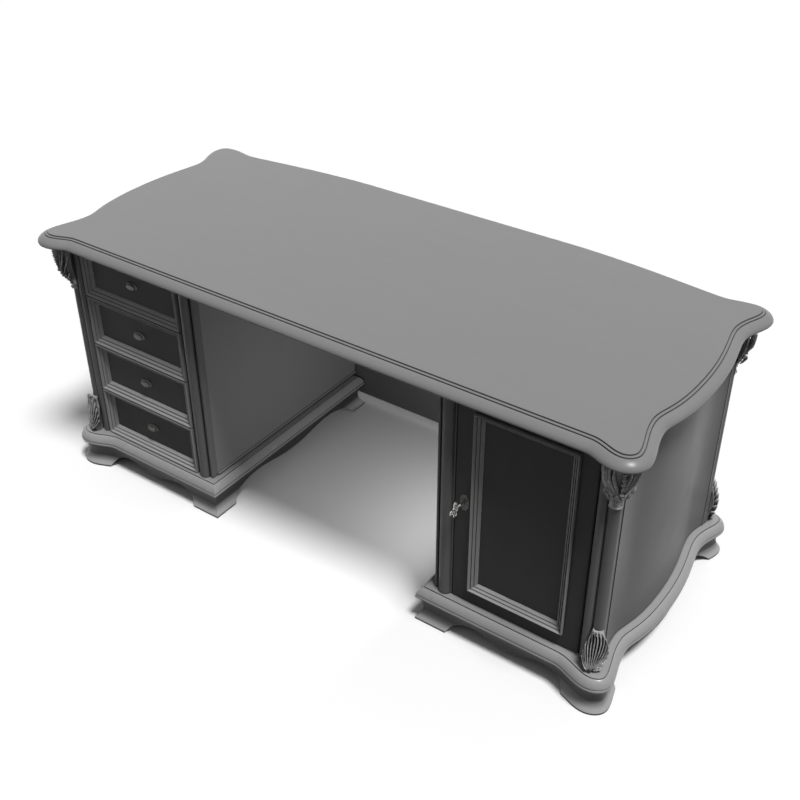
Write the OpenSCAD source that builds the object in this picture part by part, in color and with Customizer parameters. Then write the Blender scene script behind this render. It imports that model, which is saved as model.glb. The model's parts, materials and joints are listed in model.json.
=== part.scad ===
// Double-pedestal writing desk: a serpentine moulded top on two pedestals, four drawers
// on the left, a cupboard with a keyed lock on the right, and a kneehole between them.
// Millimetres, +Z up. The origin is on the floor under the middle of the top, the sitter
// faces +Y, and the pedestals are mirror images in the plane x = 0.

/* [Overall] */
// Height from the floor to the writing surface
desk_h = 780; // [720:1:840]
// Clear width between the inner sides of the pedestals
knee_w = 776; // [640:1:900]
// Depth of the pedestals over the planes of the front and rear posts
case_d = 644; // [580:1:720]
// Thickness of the desktop
top_t = 32; // [27:1:38]
// Width of the moulded edge of the desktop
top_edge_w = 31; // [24:1:36]

/* [Pedestals] */
// Width of the opening for drawers or door
open_w = 370; // [320:1:420]
// Width of the post beside the kneehole
inner_post_w = 52; // [48:1:60]
// Width of the outer corner post
outer_post_w = 54; // [52:1:62]
// Depth that the drawer fronts and posts stand before the case
front_t = 22; // [21:0.5:26]
// Thickness of the plinth board
plinth_t = 37; // [30:1:44]
// Height of the bracket feet
foot_h = 73; // [64:1:84]
// Height of the scallops above the floor
scallop_h = 46; // [36:1:54]
// Thickness of the curved outer sides
side_t = 20; // [16:1:24]
// Thickness of the flat sides beside the kneehole
inner_side_t = 22; // [18:1:26]
// Thickness of the backs
back_t = 12; // [8:1:16]
// Thickness of bottom boards and top rails
board_t = 18; // [16:1:22]

/* [Serpentine outline] */
// How far the sides swell out beyond the posts at mid depth
bulge_over = 35; // [26:1:40]
// How far the waists stand out beyond the posts
waist_over = 7; // [4:1:12]
// How far the tips of the corner lobes stand out sideways
tip_over = 31; // [26:1:36]
// How far the corner lobes stand out to the front and rear
lobe_over = 50; // [44:1:56]
// Set-back of the curved side panels from the edge of the plinth
side_set = 23; // [21:1:26]
// Front overhang of the straight plinth edge
plinth_front_over = 22; // [16:1:28]
// Rear overhang of the straight plinth edge
plinth_rear_over = 30; // [24:1:36]
// Front overhang of the straight edge of the top
top_front_over = 25; // [20:1:30]
// Rear overhang of the bowed edge of the top
top_rear_over = 76; // [66:1:84]

/* [Drawers] */
// Gap around each drawer front
drawer_gap = 3; // [2:0.5:4]
// Width of the raised moulding round a drawer front
drawer_mould_w = 27; // [20:1:32]
// Air above a drawer box
drawer_headroom = 3; // [2:0.5:20]
// Air behind a closed drawer
drawer_rear_gap = 40; // [20:5:120]
// Thickness of the drawer box walls
drawer_wall_t = 12; // [10:1:14]
// Thickness of a drawer bottom
drawer_bottom_t = 6; // [4:1:8]
// Thickness of the wooden runners
runner_t = 12; // [10:1:14]
// Thickness of the rails between drawers
rail_t = 16; // [12:1:18]

/* [Pulls] */
// Width of the oval backplate
rosette_w = 44; // [36:1:50]
// Height of the oval backplate
rosette_h = 34; // [28:1:40]
// How far a pull stands out of its drawer
pull_proj = 12; // [10:1:18]

/* [Door] */
// Thickness of the door
door_t = 20; // [18:0.5:20]
// Gap around the door
door_gap = 3; // [2.5:0.5:4]
// Width of the door frame outside the moulding
stile_w = 47; // [42:1:56]
// Width of the moulding round the door panel
door_mould_w = 22; // [18:1:26]
// Thickness of the door panel
panel_t = 12; // [8:1:12]
// Distance of the pivot from the door's edge and face
pivot_inset = 7; // [7:0.5:8]
// Radius of the pivot pins
pivot_r = 3; // [2.5:0.25:3.5]

/* [Lock] */
// Height of the key above the floor
key_z = 434; // [400:1:480]
// Distance of the key from the edge of the door
key_in = 26; // [24:1:30]
// Radius of the key's shaft
key_r = 2; // [1.5:0.25:2.5]
// How far the key stands out of the door
key_proj = 65; // [55:1:75]
// Travel of the lock bolt
bolt_throw = 10; // [8:1:11]

/* [Carving] */
// Height of the carved corbels under the top
corbel_h = 148; // [120:1:170]
// Forward reach of the corbels from the centre of the post
corbel_reach = 57; // [46:1:60]
// Height of the carved leaves on the plinth
leaf_h = 134; // [110:1:150]
// Forward reach of the leaves at their foot
leaf_reach = 46; // [38:1:48]

/* [Hidden] */

// Roundness of the turned and drilled shapes
$fn = 48;

// How far a cut runs past the face that it opens
overrun = 5;
// Air between a moving piece and what it closes against
rest_gap = 0.3;
// Clearance of one fixed piece seated in another
seat_fit = 0.2;
// Radial clearance of a pin or shaft that turns in its hole
turn_fit = 0.05;

// Places of the outline's turning points, from the planes of the posts
tip_in = 22;
waist_front_in = 108;
waist_rear_in = 84;
bulge_in = 317;
plinth_run = 109;
plinth_lobe_x = -6;
plinth_knee_over = 23;
plinth_edge_w = 14.4;
base_edge_w = 14;
top_run = 77;
top_lobe_x = 2;
top_tip_over = 29;
top_waist_over = 2;
top_bulge_over = 29.5;
top_lobe_over = 46;
top_hollow_over = 35;
top_bow_x = 330;

// Main planes of the pedestal on the +X side
knee_x = knee_w / 2;
inside_x = knee_x + inner_side_t;
open_x0 = knee_x + inner_post_w;
open_x1 = open_x0 + open_w;
case_x = open_x1 + outer_post_w;
mid_y = (top_lobe_over - top_rear_over) / 2;
front_y = mid_y - case_d / 2;
rear_y = mid_y + case_d / 2;
body_y0 = front_y + front_t;
body_y1 = rear_y - front_t;
plinth_top = foot_h + plinth_t;
under_top = desk_h - top_t;
open_h = under_top - plinth_top;

// Handle lengths of the outline's curves, as shares of each curve's run
lobe_shares = [0.4, 0.32];
round_share = 0.55;
tip_waist_shares = [0.24, 0.39];
waist_bulge_shares = [0.2, 0.7];
bulge_waist_shares = [0.53, 0.2];
waist_tip_shares = [0.45, 0.27];
bow_shares = [0.1, 0.43];

// Edge profiles from the top down, as shares of the edge's width and height
top_edge_shares = [
    [0, 0], [0, 0.1], [0.25, 0.11], [0.26, 0.2], [0.3, 0.22], [0.6, 0.36],
    [0.85, 0.53], [0.97, 0.66], [1, 0.76], [0.98, 0.86], [0.88, 0.94], [0.77, 1]
];
plinth_edge_shares = [
    [0, 0], [0, 0.08], [0.45, 0.27], [0.94, 0.64], [0.8, 0.68], [1, 0.73], [1, 0.96], [0.93, 1]
];
base_edge_shares = [
    [1, 0], [0.68, 0.12], [0.43, 0.26], [0.26, 0.42], [0.19, 0.6], [0.27, 0.74],
    [0.52, 0.86], [0.93, 0.93], [1, 0.96], [0.96, 1]
];
// Raised moulding of three ridges, as shares of its width and of its height above the face
mould_shares = [
    [0, 0.7], [0.05, 0.9], [0.12, 1], [0.22, 0.86], [0.28, 0.5], [0.36, 0.66],
    [0.48, 0.54], [0.58, 0.2], [0.64, 0.06], [0.72, 0.14], [0.82, -0.1], [0.9, -0.5], [1, -0.8]
];
// One half of a scallop between two feet, as shares of its length and height
scallop_shares = [
    [0, 0], [0.03, 0.36], [0.07, 0.66], [0.14, 0.91], [0.22, 1], [0.3, 0.9], [0.38, 0.75],
    [0.45, 0.66], [0.5, 0.64]
];

// Ring of the base frame and the places of its feet
base_wall_t = 22;
foot_front_w = 92;
foot_side_w = 77;
foot_rear_w = 61;
foot_outer_w = 70;

// Turned beads and columns of the posts
post_bead_r = 13;
post_col_r = 15.5;
post_set = 4;
post_block_set = 2;
post_block_in = 3;
pilaster_r = 17;
pilaster_x = 22;
corner_bead_r = 4.5;
door_bead_r = 3.5;
side_bead_r = 4;

// Rails, screws and the kneehole's back panel
top_rail_w = 60;
drawer_rail_w = 50;
screw_r = 2.5;
screw_head_r = 4.5;
screw_head_t = 3;
screw_bite = 18;
screw_in = 60;
modesty_t = 18;
modesty_z = 40;
modesty_y = rear_y + plinth_rear_over + plinth_edge_w + rest_gap;

// Drawers, counted from the top
drawer_count = 4;
pitch = open_h / drawer_count;
drawer_side_gap = 6;
mould_proud = 10;
recess = 0.8 * mould_proud;
groove_up = 8;
groove_in = 6;
guide_h = 14;
guide_gap = 0.4;
runner_set = 4;
pull_screw_r = 2;
pull_nut_r = 5;
pull_nut_t = 3;
box_x0 = open_x0 + drawer_side_gap;
box_x1 = open_x1 - drawer_side_gap;
box_y0 = body_y0 - rest_gap;
box_y1 = body_y1 - drawer_rear_gap;
box_h = pitch - 2 * board_t - runner_t - rest_gap - drawer_headroom;
pull_x = (open_x0 + open_x1) / 2;

// Oval pulls: rings as shares of the backplate's half sizes and of the projection
pull_shares = [
    [1, 0], [1, 0.12], [0.84, 0.26], [0.58, 0.2], [0.46, 0.28], [0.44, 0.44],
    [0.66, 0.56], [0.72, 0.68], [0.56, 0.88], [0.22, 1]
];
pull_points = 24;
scallops = 8;
scallop_depth_share = 0.07;

// Door
door_x0 = open_x0 + door_gap;
door_x1 = open_x1 - door_gap;
door_z0 = plinth_top + door_gap;
door_z1 = under_top - door_gap;
door_y1 = front_y + door_t;
pivot_x = door_x1 - pivot_inset;
pivot_y = front_y + pivot_inset;
back_edge_r = 4;
rebate = 6;
rail_drop = 4;
bush_wall = 2;
bush_r = pivot_r + bush_wall;
bush_l = 12;
pivot_pin_l = 9;
pivot_plate_t = 2.4;
pivot_plate_w = 34;
pivot_plate_d = 12;
pivot_plate_in = 8;

// Lock, with the key's axis at key_x and key_z
key_x = door_x0 + key_in;
lock_w = 54;
lock_h = 64;
lock_d = 14;
lock_skin = 2;
lock_in = 3.5;
lock_below = 32;
cavity_below = 12;
bolt_up = 4;
bolt_h = 12;
bolt_t = 6;
bolt_l = 44;
bolt_in = 2.5;
talon_w = 4;
talon_drop = 8;
talon_in = lock_skin + bolt_throw + rest_gap;
bit_l = 9;
bit_t = 2;
bit_w = 4;
keyway_w = 2.4;
keyhole_r = 3;
key_tip_gap = 1;
bow_r = 11;
bow_wire_r = 1.5;
lobe_r = 6.5;
lobe_out = 15.5;
bow_lobes = 3;
collar_r = 3.4;
collar_t = 3;
escutcheon_w = 30;
escutcheon_h = 54;
escutcheon_t = 1.6;
escutcheon_drop = 6;
escutcheon_points = 36;

// Shelf on four pins
shelf_t = 18;
shelf_front_in = 30;
shelf_gap = 1;
shelf_z = (plinth_top + board_t + under_top - board_t - shelf_t) / 2;
pin_r = 3;
pin_in = 8;
pin_out = 9;

// Carvings, as shares of height against reach and of sideways reach
corbel_shares = [
    [0, 0.34], [0.04, 0.42], [0.09, 0.44], [0.14, 0.38], [0.24, 0.5], [0.4, 0.76], [0.56, 0.93],
    [0.74, 1], [0.9, 0.97], [1, 0.99]
];
corbel_inner_reach = 34;
corbel_outer_reach = 47;
corbel_flutes = 7;
corbel_flute_share = 0.12;
leaf_shares = [
    [0, 0.6, 1], [0.1, 0.64, 0.99], [0.22, 0.78, 0.94], [0.38, 0.94, 0.88], [0.54, 1, 0.8],
    [0.7, 0.96, 0.68], [0.84, 0.8, 0.62], [0.94, 0.62, 0.68], [1, 0.44, 0.66]
];
leaf_half_w = 36;
leaf_flutes = 9;
leaf_flute_share = 0.09;
flute_points = 28;
carving_t = 1.6;

// Turns about the column, in degrees: of the flutes, and of the flats in the hollow behind
corbel_angles = [215, 372];
leaf_angles = [227, 350];
hollow_start_angle = 232;
hollow_step_angle = 22;
corbel_flats = 6;
leaf_flats = 5;

// Colours of the finishes
top_colour = [0.56, 0.56, 0.56];
case_colour = [0.38, 0.38, 0.38];
front_colour = [0.25, 0.25, 0.25];
trim_colour = [0.5, 0.5, 0.5];
inside_colour = [0.6, 0.55, 0.48];
metal_colour = [0.68, 0.67, 0.64];

// Curves and lofts

function unit(v) = v / norm(v);

// Points of a cubic from a to b that leaves along ta and arrives along tb, without b
function cubic(a, ta, b, tb, n) = [
    for (i = [0:n - 1])
        let (t = i / n, s = 1 - t)
        s * s * s * a + 3 * s * s * t * (a + ta) + 3 * s * t * t * (b - tb) + t * t * t * b
];

// A cubic with both ends along X, or both along Y, whose handles are shares of its run
function swing_x(a, b, shares, n) =
    cubic(a, [shares[0] * (b.x - a.x), 0], b, [shares[1] * (b.x - a.x), 0], n);
function swing_y(a, b, shares, n) =
    cubic(a, [0, shares[0] * (b.y - a.y)], b, [0, shares[1] * (b.y - a.y)], n);

// A quarter of an ellipse that leaves along X, or along Y
function round_x(a, b, n) =
    cubic(a, [round_share * (b.x - a.x), 0], b, [0, round_share * (b.y - a.y)], n);
function round_y(a, b, n) =
    cubic(a, [0, round_share * (b.y - a.y)], b, [round_share * (b.x - a.x), 0], n);

// The outer side of a serpentine outline, from the front straight round to the rear one
function side_line(front, run, lobe_x, lobe, tip, waist, bulge, rear) =
    let (
        straight_0 = [case_x - run, front_y - front],
        lobe_0 = [case_x + lobe_x, front_y - lobe],
        tip_0 = [case_x + tip, front_y - tip_in],
        waist_0 = [case_x + waist, front_y + waist_front_in],
        belly = [case_x + bulge, front_y + bulge_in],
        waist_1 = [case_x + waist, rear_y - waist_rear_in],
        tip_1 = [case_x + tip, rear_y + tip_in],
        lobe_1 = [case_x + lobe_x, rear_y + lobe],
        straight_1 = [case_x - run, rear_y + rear]
    )
    concat(
        swing_x(straight_0, lobe_0, lobe_shares, 6),
        round_x(lobe_0, tip_0, 5),
        swing_y(tip_0, waist_0, tip_waist_shares, 6),
        swing_y(waist_0, belly, waist_bulge_shares, 7),
        swing_y(belly, waist_1, bulge_waist_shares, 7),
        swing_y(waist_1, tip_1, waist_tip_shares, 6),
        round_y(tip_1, lobe_1, 5),
        swing_x(lobe_1, straight_1, lobe_shares, 6),
        [straight_1]
    );

// Half of the desktop's outline, on the +X side, and the whole of it
top_side = side_line(top_front_over, top_run, top_lobe_x, top_lobe_over, top_tip_over,
    top_waist_over, top_bulge_over, top_hollow_over);
top_half = concat(
    [for (i = [0:len(top_side) - 2]) top_side[i]],
    swing_x(top_side[len(top_side) - 1], [top_bow_x, rear_y + top_rear_over], bow_shares, 8),
    [[top_bow_x, rear_y + top_rear_over]]
);
top_outline = concat(
    top_half,
    [for (i = [len(top_half) - 1:-1:0]) [-top_half[i].x, top_half[i].y]]
);

// Outline of the flat on a plinth, with square corners at the kneehole
plinth_outline = concat(
    side_line(plinth_front_over, plinth_run, plinth_lobe_x, lobe_over, tip_over,
        waist_over, bulge_over, plinth_rear_over),
    [
        [knee_x - plinth_knee_over, rear_y + plinth_rear_over],
        [knee_x - plinth_knee_over, front_y - plinth_front_over]
    ]
);

// An outline moved outward by d, mitred at its corners
function shifted(outline, d) = [
    for (i = [0:len(outline) - 1])
        let (
            before = outline[(i + len(outline) - 1) % len(outline)],
            here = outline[i],
            after = outline[(i + 1) % len(outline)],
            u = unit(here - before),
            v = unit(after - here),
            n = unit([u.y + v.y, -u.x - v.x])
        )
        here + n * d / (n.x * u.y - n.y * u.x)
];

// An edge profile in real sizes, from its shares
function sized(shares, w, h) = [for (p = shares) [p[0] * w, p[1] * h]];

// A closed solid through rings of points that run anticlockwise, from the lowest up
module loft(rings) {
    n = len(rings[0]);
    m = len(rings);
    sides = [
        for (j = [0:m - 2], i = [0:n - 1])
            let (a = j * n + i, b = j * n + (i + 1) % n)
            each [[a, a + n, b + n], [a, b + n, b]]
    ];
    foot = [for (i = [0:n - 1]) i];
    cap = [for (i = [n - 1:-1:0]) (m - 1) * n + i];
    polyhedron([for (r = rings, p = r) p], concat(sides, [foot, cap]));
}

// A closed ring-shaped solid through a closed loop of rings
module loop_loft(rings) {
    n = len(rings[0]);
    m = len(rings);
    polyhedron(
        [for (r = rings, p = r) p],
        [
            for (j = [0:m - 1], i = [0:n - 1])
                let (a = j * n + i, b = j * n + (i + 1) % n, up = ((j + 1) % m - j) * n)
                each [[a, a + up, b + up], [a, b + up, b]]
        ]
    );
}

// A board with a moulded edge whose profile runs down from z
module moulded(outline, profile, z) {
    loft([
        for (i = [len(profile) - 1:-1:0])
            [for (p = shifted(outline, profile[i].x)) [p.x, p.y, z - profile[i].y]]
    ]);
}

// A rectangle of w by h about the origin, drawn in by inset, at height z
function frame_ring(w, h, inset, z) = [
    for (c = [[-1, -1], [1, -1], [1, 1], [-1, 1]])
        [c[0] * (w / 2 - inset), c[1] * (h / 2 - inset), z]
];

// Stands a shape drawn flat up against a plane that faces the sitter
module facing(x, y, z) {
    translate([x, y, z]) rotate([90, 0, 0]) children();
}

module on_left() {
    mirror([1, 0, 0]) children();
}

// The mirror image at the rear posts of a shape drawn at the front ones
module at_rear() {
    translate([0, 2 * mid_y, 0]) mirror([0, 1, 0]) children();
}

// A block between two opposite corners
module block(low, high) {
    translate(low) cube(high - low);
}

// Plans

// Everything within a plinth's outline drawn in by d, between the planes of the case
module inside_plan(d) {
    intersection() {
        polygon(shifted(plinth_outline, -d));
        translate([inside_x, body_y0]) square([case_x + bulge_over - inside_x, body_y1 - body_y0]);
    }
}

// The inside of a pedestal, between two planes across x and two across y
module room(x0, x1, y0, y1, gap = 0) {
    intersection() {
        polygon(shifted(plinth_outline, -side_set - side_t - gap));
        translate([x0, y0]) square([x1 - x0, y1 - y0]);
    }
}

module outer_post_plan() {
    translate([open_x1, front_y + post_block_set])
        square([outer_post_w - post_block_in, front_t - post_block_set]);
    translate([open_x1 + post_bead_r, front_y]) circle(post_bead_r);
    translate([case_x - post_col_r, front_y + post_set]) circle(post_col_r);
}

module inner_post_plan() {
    translate([knee_x, front_y + post_set]) square([inner_post_w, front_t - post_set]);
    translate([open_x0 - pilaster_x, front_y + post_set]) circle(pilaster_r);
    translate([knee_x + corner_bead_r, front_y + post_set]) circle(corner_bead_r);
    translate([open_x0 - door_bead_r, front_y + post_set]) circle(door_bead_r);
}

// Desktop and kneehole

module top_screw_places() {
    for (side = [-1, 1], x = [open_x0 + screw_in, open_x1 - screw_in])
        for (y = [body_y0 + top_rail_w / 2, body_y1 - top_rail_w / 2])
            translate([side * x, y, under_top - board_t]) children();
}

module desktop() {
    color(top_colour) difference() {
        moulded(top_outline, sized(top_edge_shares, top_edge_w, top_t), desk_h);
        top_screw_places() cylinder(r = screw_r + turn_fit, h = board_t + screw_bite + rest_gap);
    }
}

module modesty_panel() {
    color(case_colour)
        block([-inside_x, modesty_y, modesty_z], [inside_x, modesty_y + modesty_t, under_top]);
}

// Screws that hold the top down, their heads sunk in the top rails
module top_screws() {
    color(metal_colour) top_screw_places() translate([0, 0, seat_fit]) {
        cylinder(r = screw_r, h = board_t + screw_bite);
        cylinder(r = screw_head_r, h = screw_head_t);
    }
}

// Plinth and feet

module plinth() {
    color(trim_colour)
        moulded(plinth_outline, sized(plinth_edge_shares, plinth_edge_w, plinth_t), plinth_top);
}

// The opening between two feet, drawn along X from the origin, with a drop at its middle
module scallop(length) {
    half = [for (p = scallop_shares) [p[0] * length, p[1] * scallop_h]];
    other = [
        for (i = [len(half) - 2:-1:0]) [length - half[i].x, half[i].y]
    ];
    polygon(concat([[0, -overrun]], half, other, [[length, -overrun]]));
}

module base_frame() {
    cut_d = base_wall_t + 2 * overrun + lobe_over;
    x0 = knee_x - plinth_knee_over - base_edge_w;
    x1 = case_x - foot_outer_w;
    y0 = front_y - plinth_front_over - base_edge_w;
    y1 = rear_y + plinth_rear_over + base_edge_w;
    length_x = x1 - x0 - foot_front_w;
    length_y = y1 - y0 - foot_side_w - foot_rear_w;
    color(trim_colour) difference() {
        moulded(plinth_outline, sized(base_edge_shares, base_edge_w, foot_h), foot_h);
        translate([0, 0, -overrun])
            linear_extrude(foot_h + 2 * overrun)
                polygon(shifted(plinth_outline, base_edge_w - base_wall_t));
        facing(x0 + foot_front_w, y0 + cut_d, 0) linear_extrude(cut_d + overrun) scallop(length_x);
        facing(x0 + foot_front_w, y1 + overrun, 0) linear_extrude(cut_d + overrun) scallop(length_x);
        translate([x0 - overrun, y0 + foot_side_w, 0]) rotate([90, 0, 90])
            linear_extrude(base_wall_t + 2 * overrun) scallop(length_y);
        translate([case_x - side_set - overrun, y0 + foot_side_w, 0]) rotate([90, 0, 90])
            linear_extrude(side_set + bulge_over + base_edge_w + 2 * overrun) scallop(length_y);
    }
}

// Case

module outer_side() {
    color(case_colour) translate([0, 0, plinth_top]) linear_extrude(open_h)
        difference() {
            inside_plan(side_set);
            polygon(shifted(plinth_outline, -side_set - side_t));
        }
}

module inner_side() {
    color(case_colour) {
        block([knee_x, body_y0, plinth_top], [inside_x, modesty_y, under_top]);
        translate([knee_x, body_y0, plinth_top + side_bead_r]) rotate([-90, 0, 0])
            cylinder(r = side_bead_r, h = modesty_y - body_y0);
    }
}

module back() {
    color(case_colour)
        block([inside_x, body_y1, plinth_top], [open_x1, body_y1 + back_t, under_top]);
}

module bottom_board() {
    color(inside_colour) translate([0, 0, plinth_top]) linear_extrude(board_t)
        room(inside_x, case_x + bulge_over, body_y0, body_y1);
}

module top_rails() {
    color(inside_colour) difference() {
        translate([0, 0, under_top - board_t]) linear_extrude(board_t) {
            room(inside_x, case_x + bulge_over, body_y0, body_y0 + top_rail_w);
            room(inside_x, case_x + bulge_over, body_y1 - top_rail_w, body_y1);
        }
        top_screw_places() {
            cylinder(r = screw_r + turn_fit, h = board_t + overrun);
            translate([0, 0, -overrun])
                cylinder(r = screw_head_r + turn_fit, h = screw_head_t + seat_fit + overrun);
        }
    }
}

module outer_post() {
    color(trim_colour) translate([0, 0, plinth_top]) linear_extrude(open_h) outer_post_plan();
}

module inner_post() {
    color(trim_colour) translate([0, 0, plinth_top]) linear_extrude(open_h) inner_post_plan();
}

// Drawers. Their pieces are drawn on the +X side and mirrored to the left.

function cell_z(i) = under_top - i * pitch;
function box_z(i) = cell_z(i) + board_t + runner_t + rest_gap;

module drawer_rails() {
    color(inside_colour) for (i = [1:drawer_count - 1])
        translate([0, 0, cell_z(i) - rail_t / 2]) linear_extrude(rail_t)
            room(inside_x, case_x + bulge_over, body_y0, body_y0 + drawer_rail_w);
}

// Each drawer runs on a strip under either side, with a taller guide beside it
module drawer_runners() {
    y0 = body_y0 + runner_set;
    color(inside_colour) for (i = [1:drawer_count])
        translate([0, 0, cell_z(i) + board_t]) {
            linear_extrude(runner_t) {
                room(inside_x, box_x0 + drawer_wall_t, y0, body_y1);
                room(box_x1 - drawer_wall_t, case_x + bulge_over, y0, body_y1);
            }
            linear_extrude(runner_t + guide_h) {
                room(inside_x, box_x0 - guide_gap, y0, body_y1);
                room(box_x1 + guide_gap, case_x + bulge_over, y0, body_y1);
            }
        }
}

// The screw of a pull, through the front and the box's front wall
module pull_screw_hole(i) {
    facing(pull_x, box_y0 + drawer_wall_t + overrun, cell_z(i) + pitch / 2)
        cylinder(r = pull_screw_r + turn_fit, h = front_t + drawer_wall_t + 2 * overrun);
}

module drawer_front(i) {
    w = open_w - 2 * drawer_gap;
    h = pitch - drawer_gap;
    color(front_colour) difference() {
        facing(pull_x, front_y, cell_z(i) + pitch / 2) loft(concat(
            [frame_ring(w, h, 0, -front_t + rest_gap)],
            [
                for (p = mould_shares)
                    frame_ring(w, h, p[0] * drawer_mould_w, p[1] * mould_proud)
            ]
        ));
        pull_screw_hole(i);
    }
}

module drawer_box(i) {
    low = [box_x0, box_y0, box_z(i)];
    high = [box_x1, box_y1, box_z(i) + box_h];
    wall = [drawer_wall_t, drawer_wall_t, 0];
    slot = wall - [groove_in, groove_in, 0];
    color(inside_colour) difference() {
        block(low, high);
        block(low + wall - [0, 0, overrun], high - wall + [0, 0, overrun]);
        block(
            low + slot + [0, 0, groove_up],
            [high.x - slot.x, high.y - slot.y, low.z + groove_up + drawer_bottom_t + seat_fit]
        );
        pull_screw_hole(i);
    }
}

module drawer_bottom(i) {
    inset = drawer_wall_t - groove_in + seat_fit;
    z = box_z(i) + groove_up;
    color(inside_colour) block(
        [box_x0 + inset, box_y0 + inset, z],
        [box_x1 - inset, box_y1 - inset, z + drawer_bottom_t]
    );
}

// A ring of a pull, scalloped at the edge of its backplate
function pull_ring(share, scallop_share, z) = [
    for (k = [0:pull_points - 1])
        let (a = 360 * k / pull_points, r = share * (1 - scallop_share * pow(cos(scallops * a / 2), 2)))
        [r * rosette_w / 2 * cos(a), r * rosette_h / 2 * sin(a), z]
];

module drawer_pull(i) {
    screw_l = front_t - recess - rest_gap + drawer_wall_t;
    color(metal_colour) facing(pull_x, front_y + recess, cell_z(i) + pitch / 2) {
        loft([
            for (p = pull_shares)
                pull_ring(p[0], p[0] == 1 ? scallop_depth_share : 0, p[1] * pull_proj)
        ]);
        translate([0, 0, -screw_l]) cylinder(r = pull_screw_r, h = screw_l);
        translate([0, 0, -screw_l - pull_nut_t]) cylinder(r = pull_nut_r, h = pull_nut_t);
    }
}

// Shelf

module shelf() {
    color(inside_colour) translate([0, 0, shelf_z]) linear_extrude(shelf_t)
        room(inside_x + shelf_gap, case_x + bulge_over, body_y0 + shelf_front_in,
            body_y1 - shelf_gap, shelf_gap);
}

// Pins or holes in both sides, where the curved side runs straight back
module pins(r, depth, out) {
    for (y = [front_y + waist_front_in, rear_y - waist_rear_in]) {
        translate([inside_x - depth, y, shelf_z - pin_r]) rotate([0, 90, 0])
            cylinder(r = r, h = depth + out);
        translate([case_x + waist_over - side_set - side_t - out, y, shelf_z - pin_r])
            rotate([0, 90, 0]) cylinder(r = r, h = depth + out);
    }
}

module shelf_pins() {
    color(metal_colour) pins(pin_r, pin_in, pin_out);
}

// Door

// Width, height and place of the moulding's outer edge on the door
mould_w = door_x1 - door_x0 - 2 * stile_w;
mould_h = door_z1 - door_z0 - 2 * (stile_w - rail_drop);
mould_x = (door_x0 + door_x1) / 2;
mould_z = (door_z0 + door_z1) / 2;

// The gap in the door frame that the panel fills, drawn in by g
module panel_space(y0, y1, g) {
    block(
        [mould_x - mould_w / 2 + rebate + g, y0, mould_z - mould_h / 2 + rebate + g],
        [mould_x + mould_w / 2 - rebate - g, y1, mould_z + mould_h / 2 - rebate - g]
    );
}

module door_plan() {
    translate([door_x0, front_y]) square([pivot_x - door_x0, door_t]);
    translate([pivot_x, pivot_y]) circle(pivot_inset);
    translate([pivot_x, pivot_y]) square([pivot_inset, door_t - pivot_inset - back_edge_r]);
    translate([pivot_x, pivot_y]) square([pivot_inset - back_edge_r, door_t - pivot_inset]);
    translate([door_x1 - back_edge_r, door_y1 - back_edge_r]) circle(back_edge_r);
}

module key_passage(r, w, depth) {
    facing(key_x, front_y + depth, key_z) {
        cylinder(r = r, h = depth + overrun);
        translate([-w / 2, -bit_l - rest_gap, 0]) cube([w, bit_l, depth + overrun]);
    }
}

module door_frame() {
    color(front_colour) difference() {
        translate([0, 0, door_z0]) linear_extrude(door_z1 - door_z0) door_plan();
        panel_space(front_y - overrun, door_y1 + overrun, 0);
        translate([pivot_x, pivot_y, door_z0 - overrun])
            cylinder(r = bush_r + turn_fit, h = bush_l + overrun);
        translate([pivot_x, pivot_y, door_z1 - bush_l])
            cylinder(r = bush_r + turn_fit, h = bush_l + overrun);
        key_passage(keyhole_r, keyway_w, door_t + overrun);
    }
}

module door_panel() {
    color(front_colour) panel_space(door_y1 - panel_t, door_y1, seat_fit);
}

// The moulding laps the frame and fills the corner down to the panel
module door_moulding() {
    sink = door_t - panel_t;
    inner = rebate + seat_fit;
    color(trim_colour) facing(mould_x, front_y, mould_z) loop_loft(concat(
        [frame_ring(mould_w, mould_h, door_mould_w, -sink)],
        [frame_ring(mould_w, mould_h, inner, -sink)],
        [frame_ring(mould_w, mould_h, inner, 0)],
        [frame_ring(mould_w, mould_h, 0, 0)],
        [
            for (k = [0:len(mould_shares) - 2])
                frame_ring(mould_w, mould_h, mould_shares[k][0] * door_mould_w,
                    mould_shares[k][1] * mould_proud)
        ]
    ));
}

module door_pivot_bushes() {
    color(metal_colour) for (z = [door_z0 - seat_fit, door_z1 - bush_l + seat_fit])
        translate([pivot_x, pivot_y, z]) difference() {
            cylinder(r = bush_r, h = bush_l);
            translate([0, 0, -overrun])
                cylinder(r = pivot_r + turn_fit, h = bush_l + 2 * overrun);
        }
}

// Plates with a pin, on the plinth and under the top
module case_pivots() {
    color(metal_colour) translate([pivot_x, pivot_y, 0])
        for (m = [0, 1])
            translate([0, 0, m * (under_top + plinth_top)]) mirror([0, 0, m])
                translate([0, 0, plinth_top]) {
                    cylinder(r = pivot_r, h = pivot_plate_t + pivot_pin_l);
                    translate([pivot_plate_in - pivot_plate_w, -pivot_plate_d / 2, 0])
                        cube([pivot_plate_w, pivot_plate_d, pivot_plate_t]);
                }
}

// Lock, screwed to the inside of the door

lock_x0 = door_x0 + lock_in;
lock_y1 = door_y1 + lock_d;
bolt_y0 = door_y1 + lock_skin + rest_gap;
bolt_z0 = key_z + bolt_up;

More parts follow.
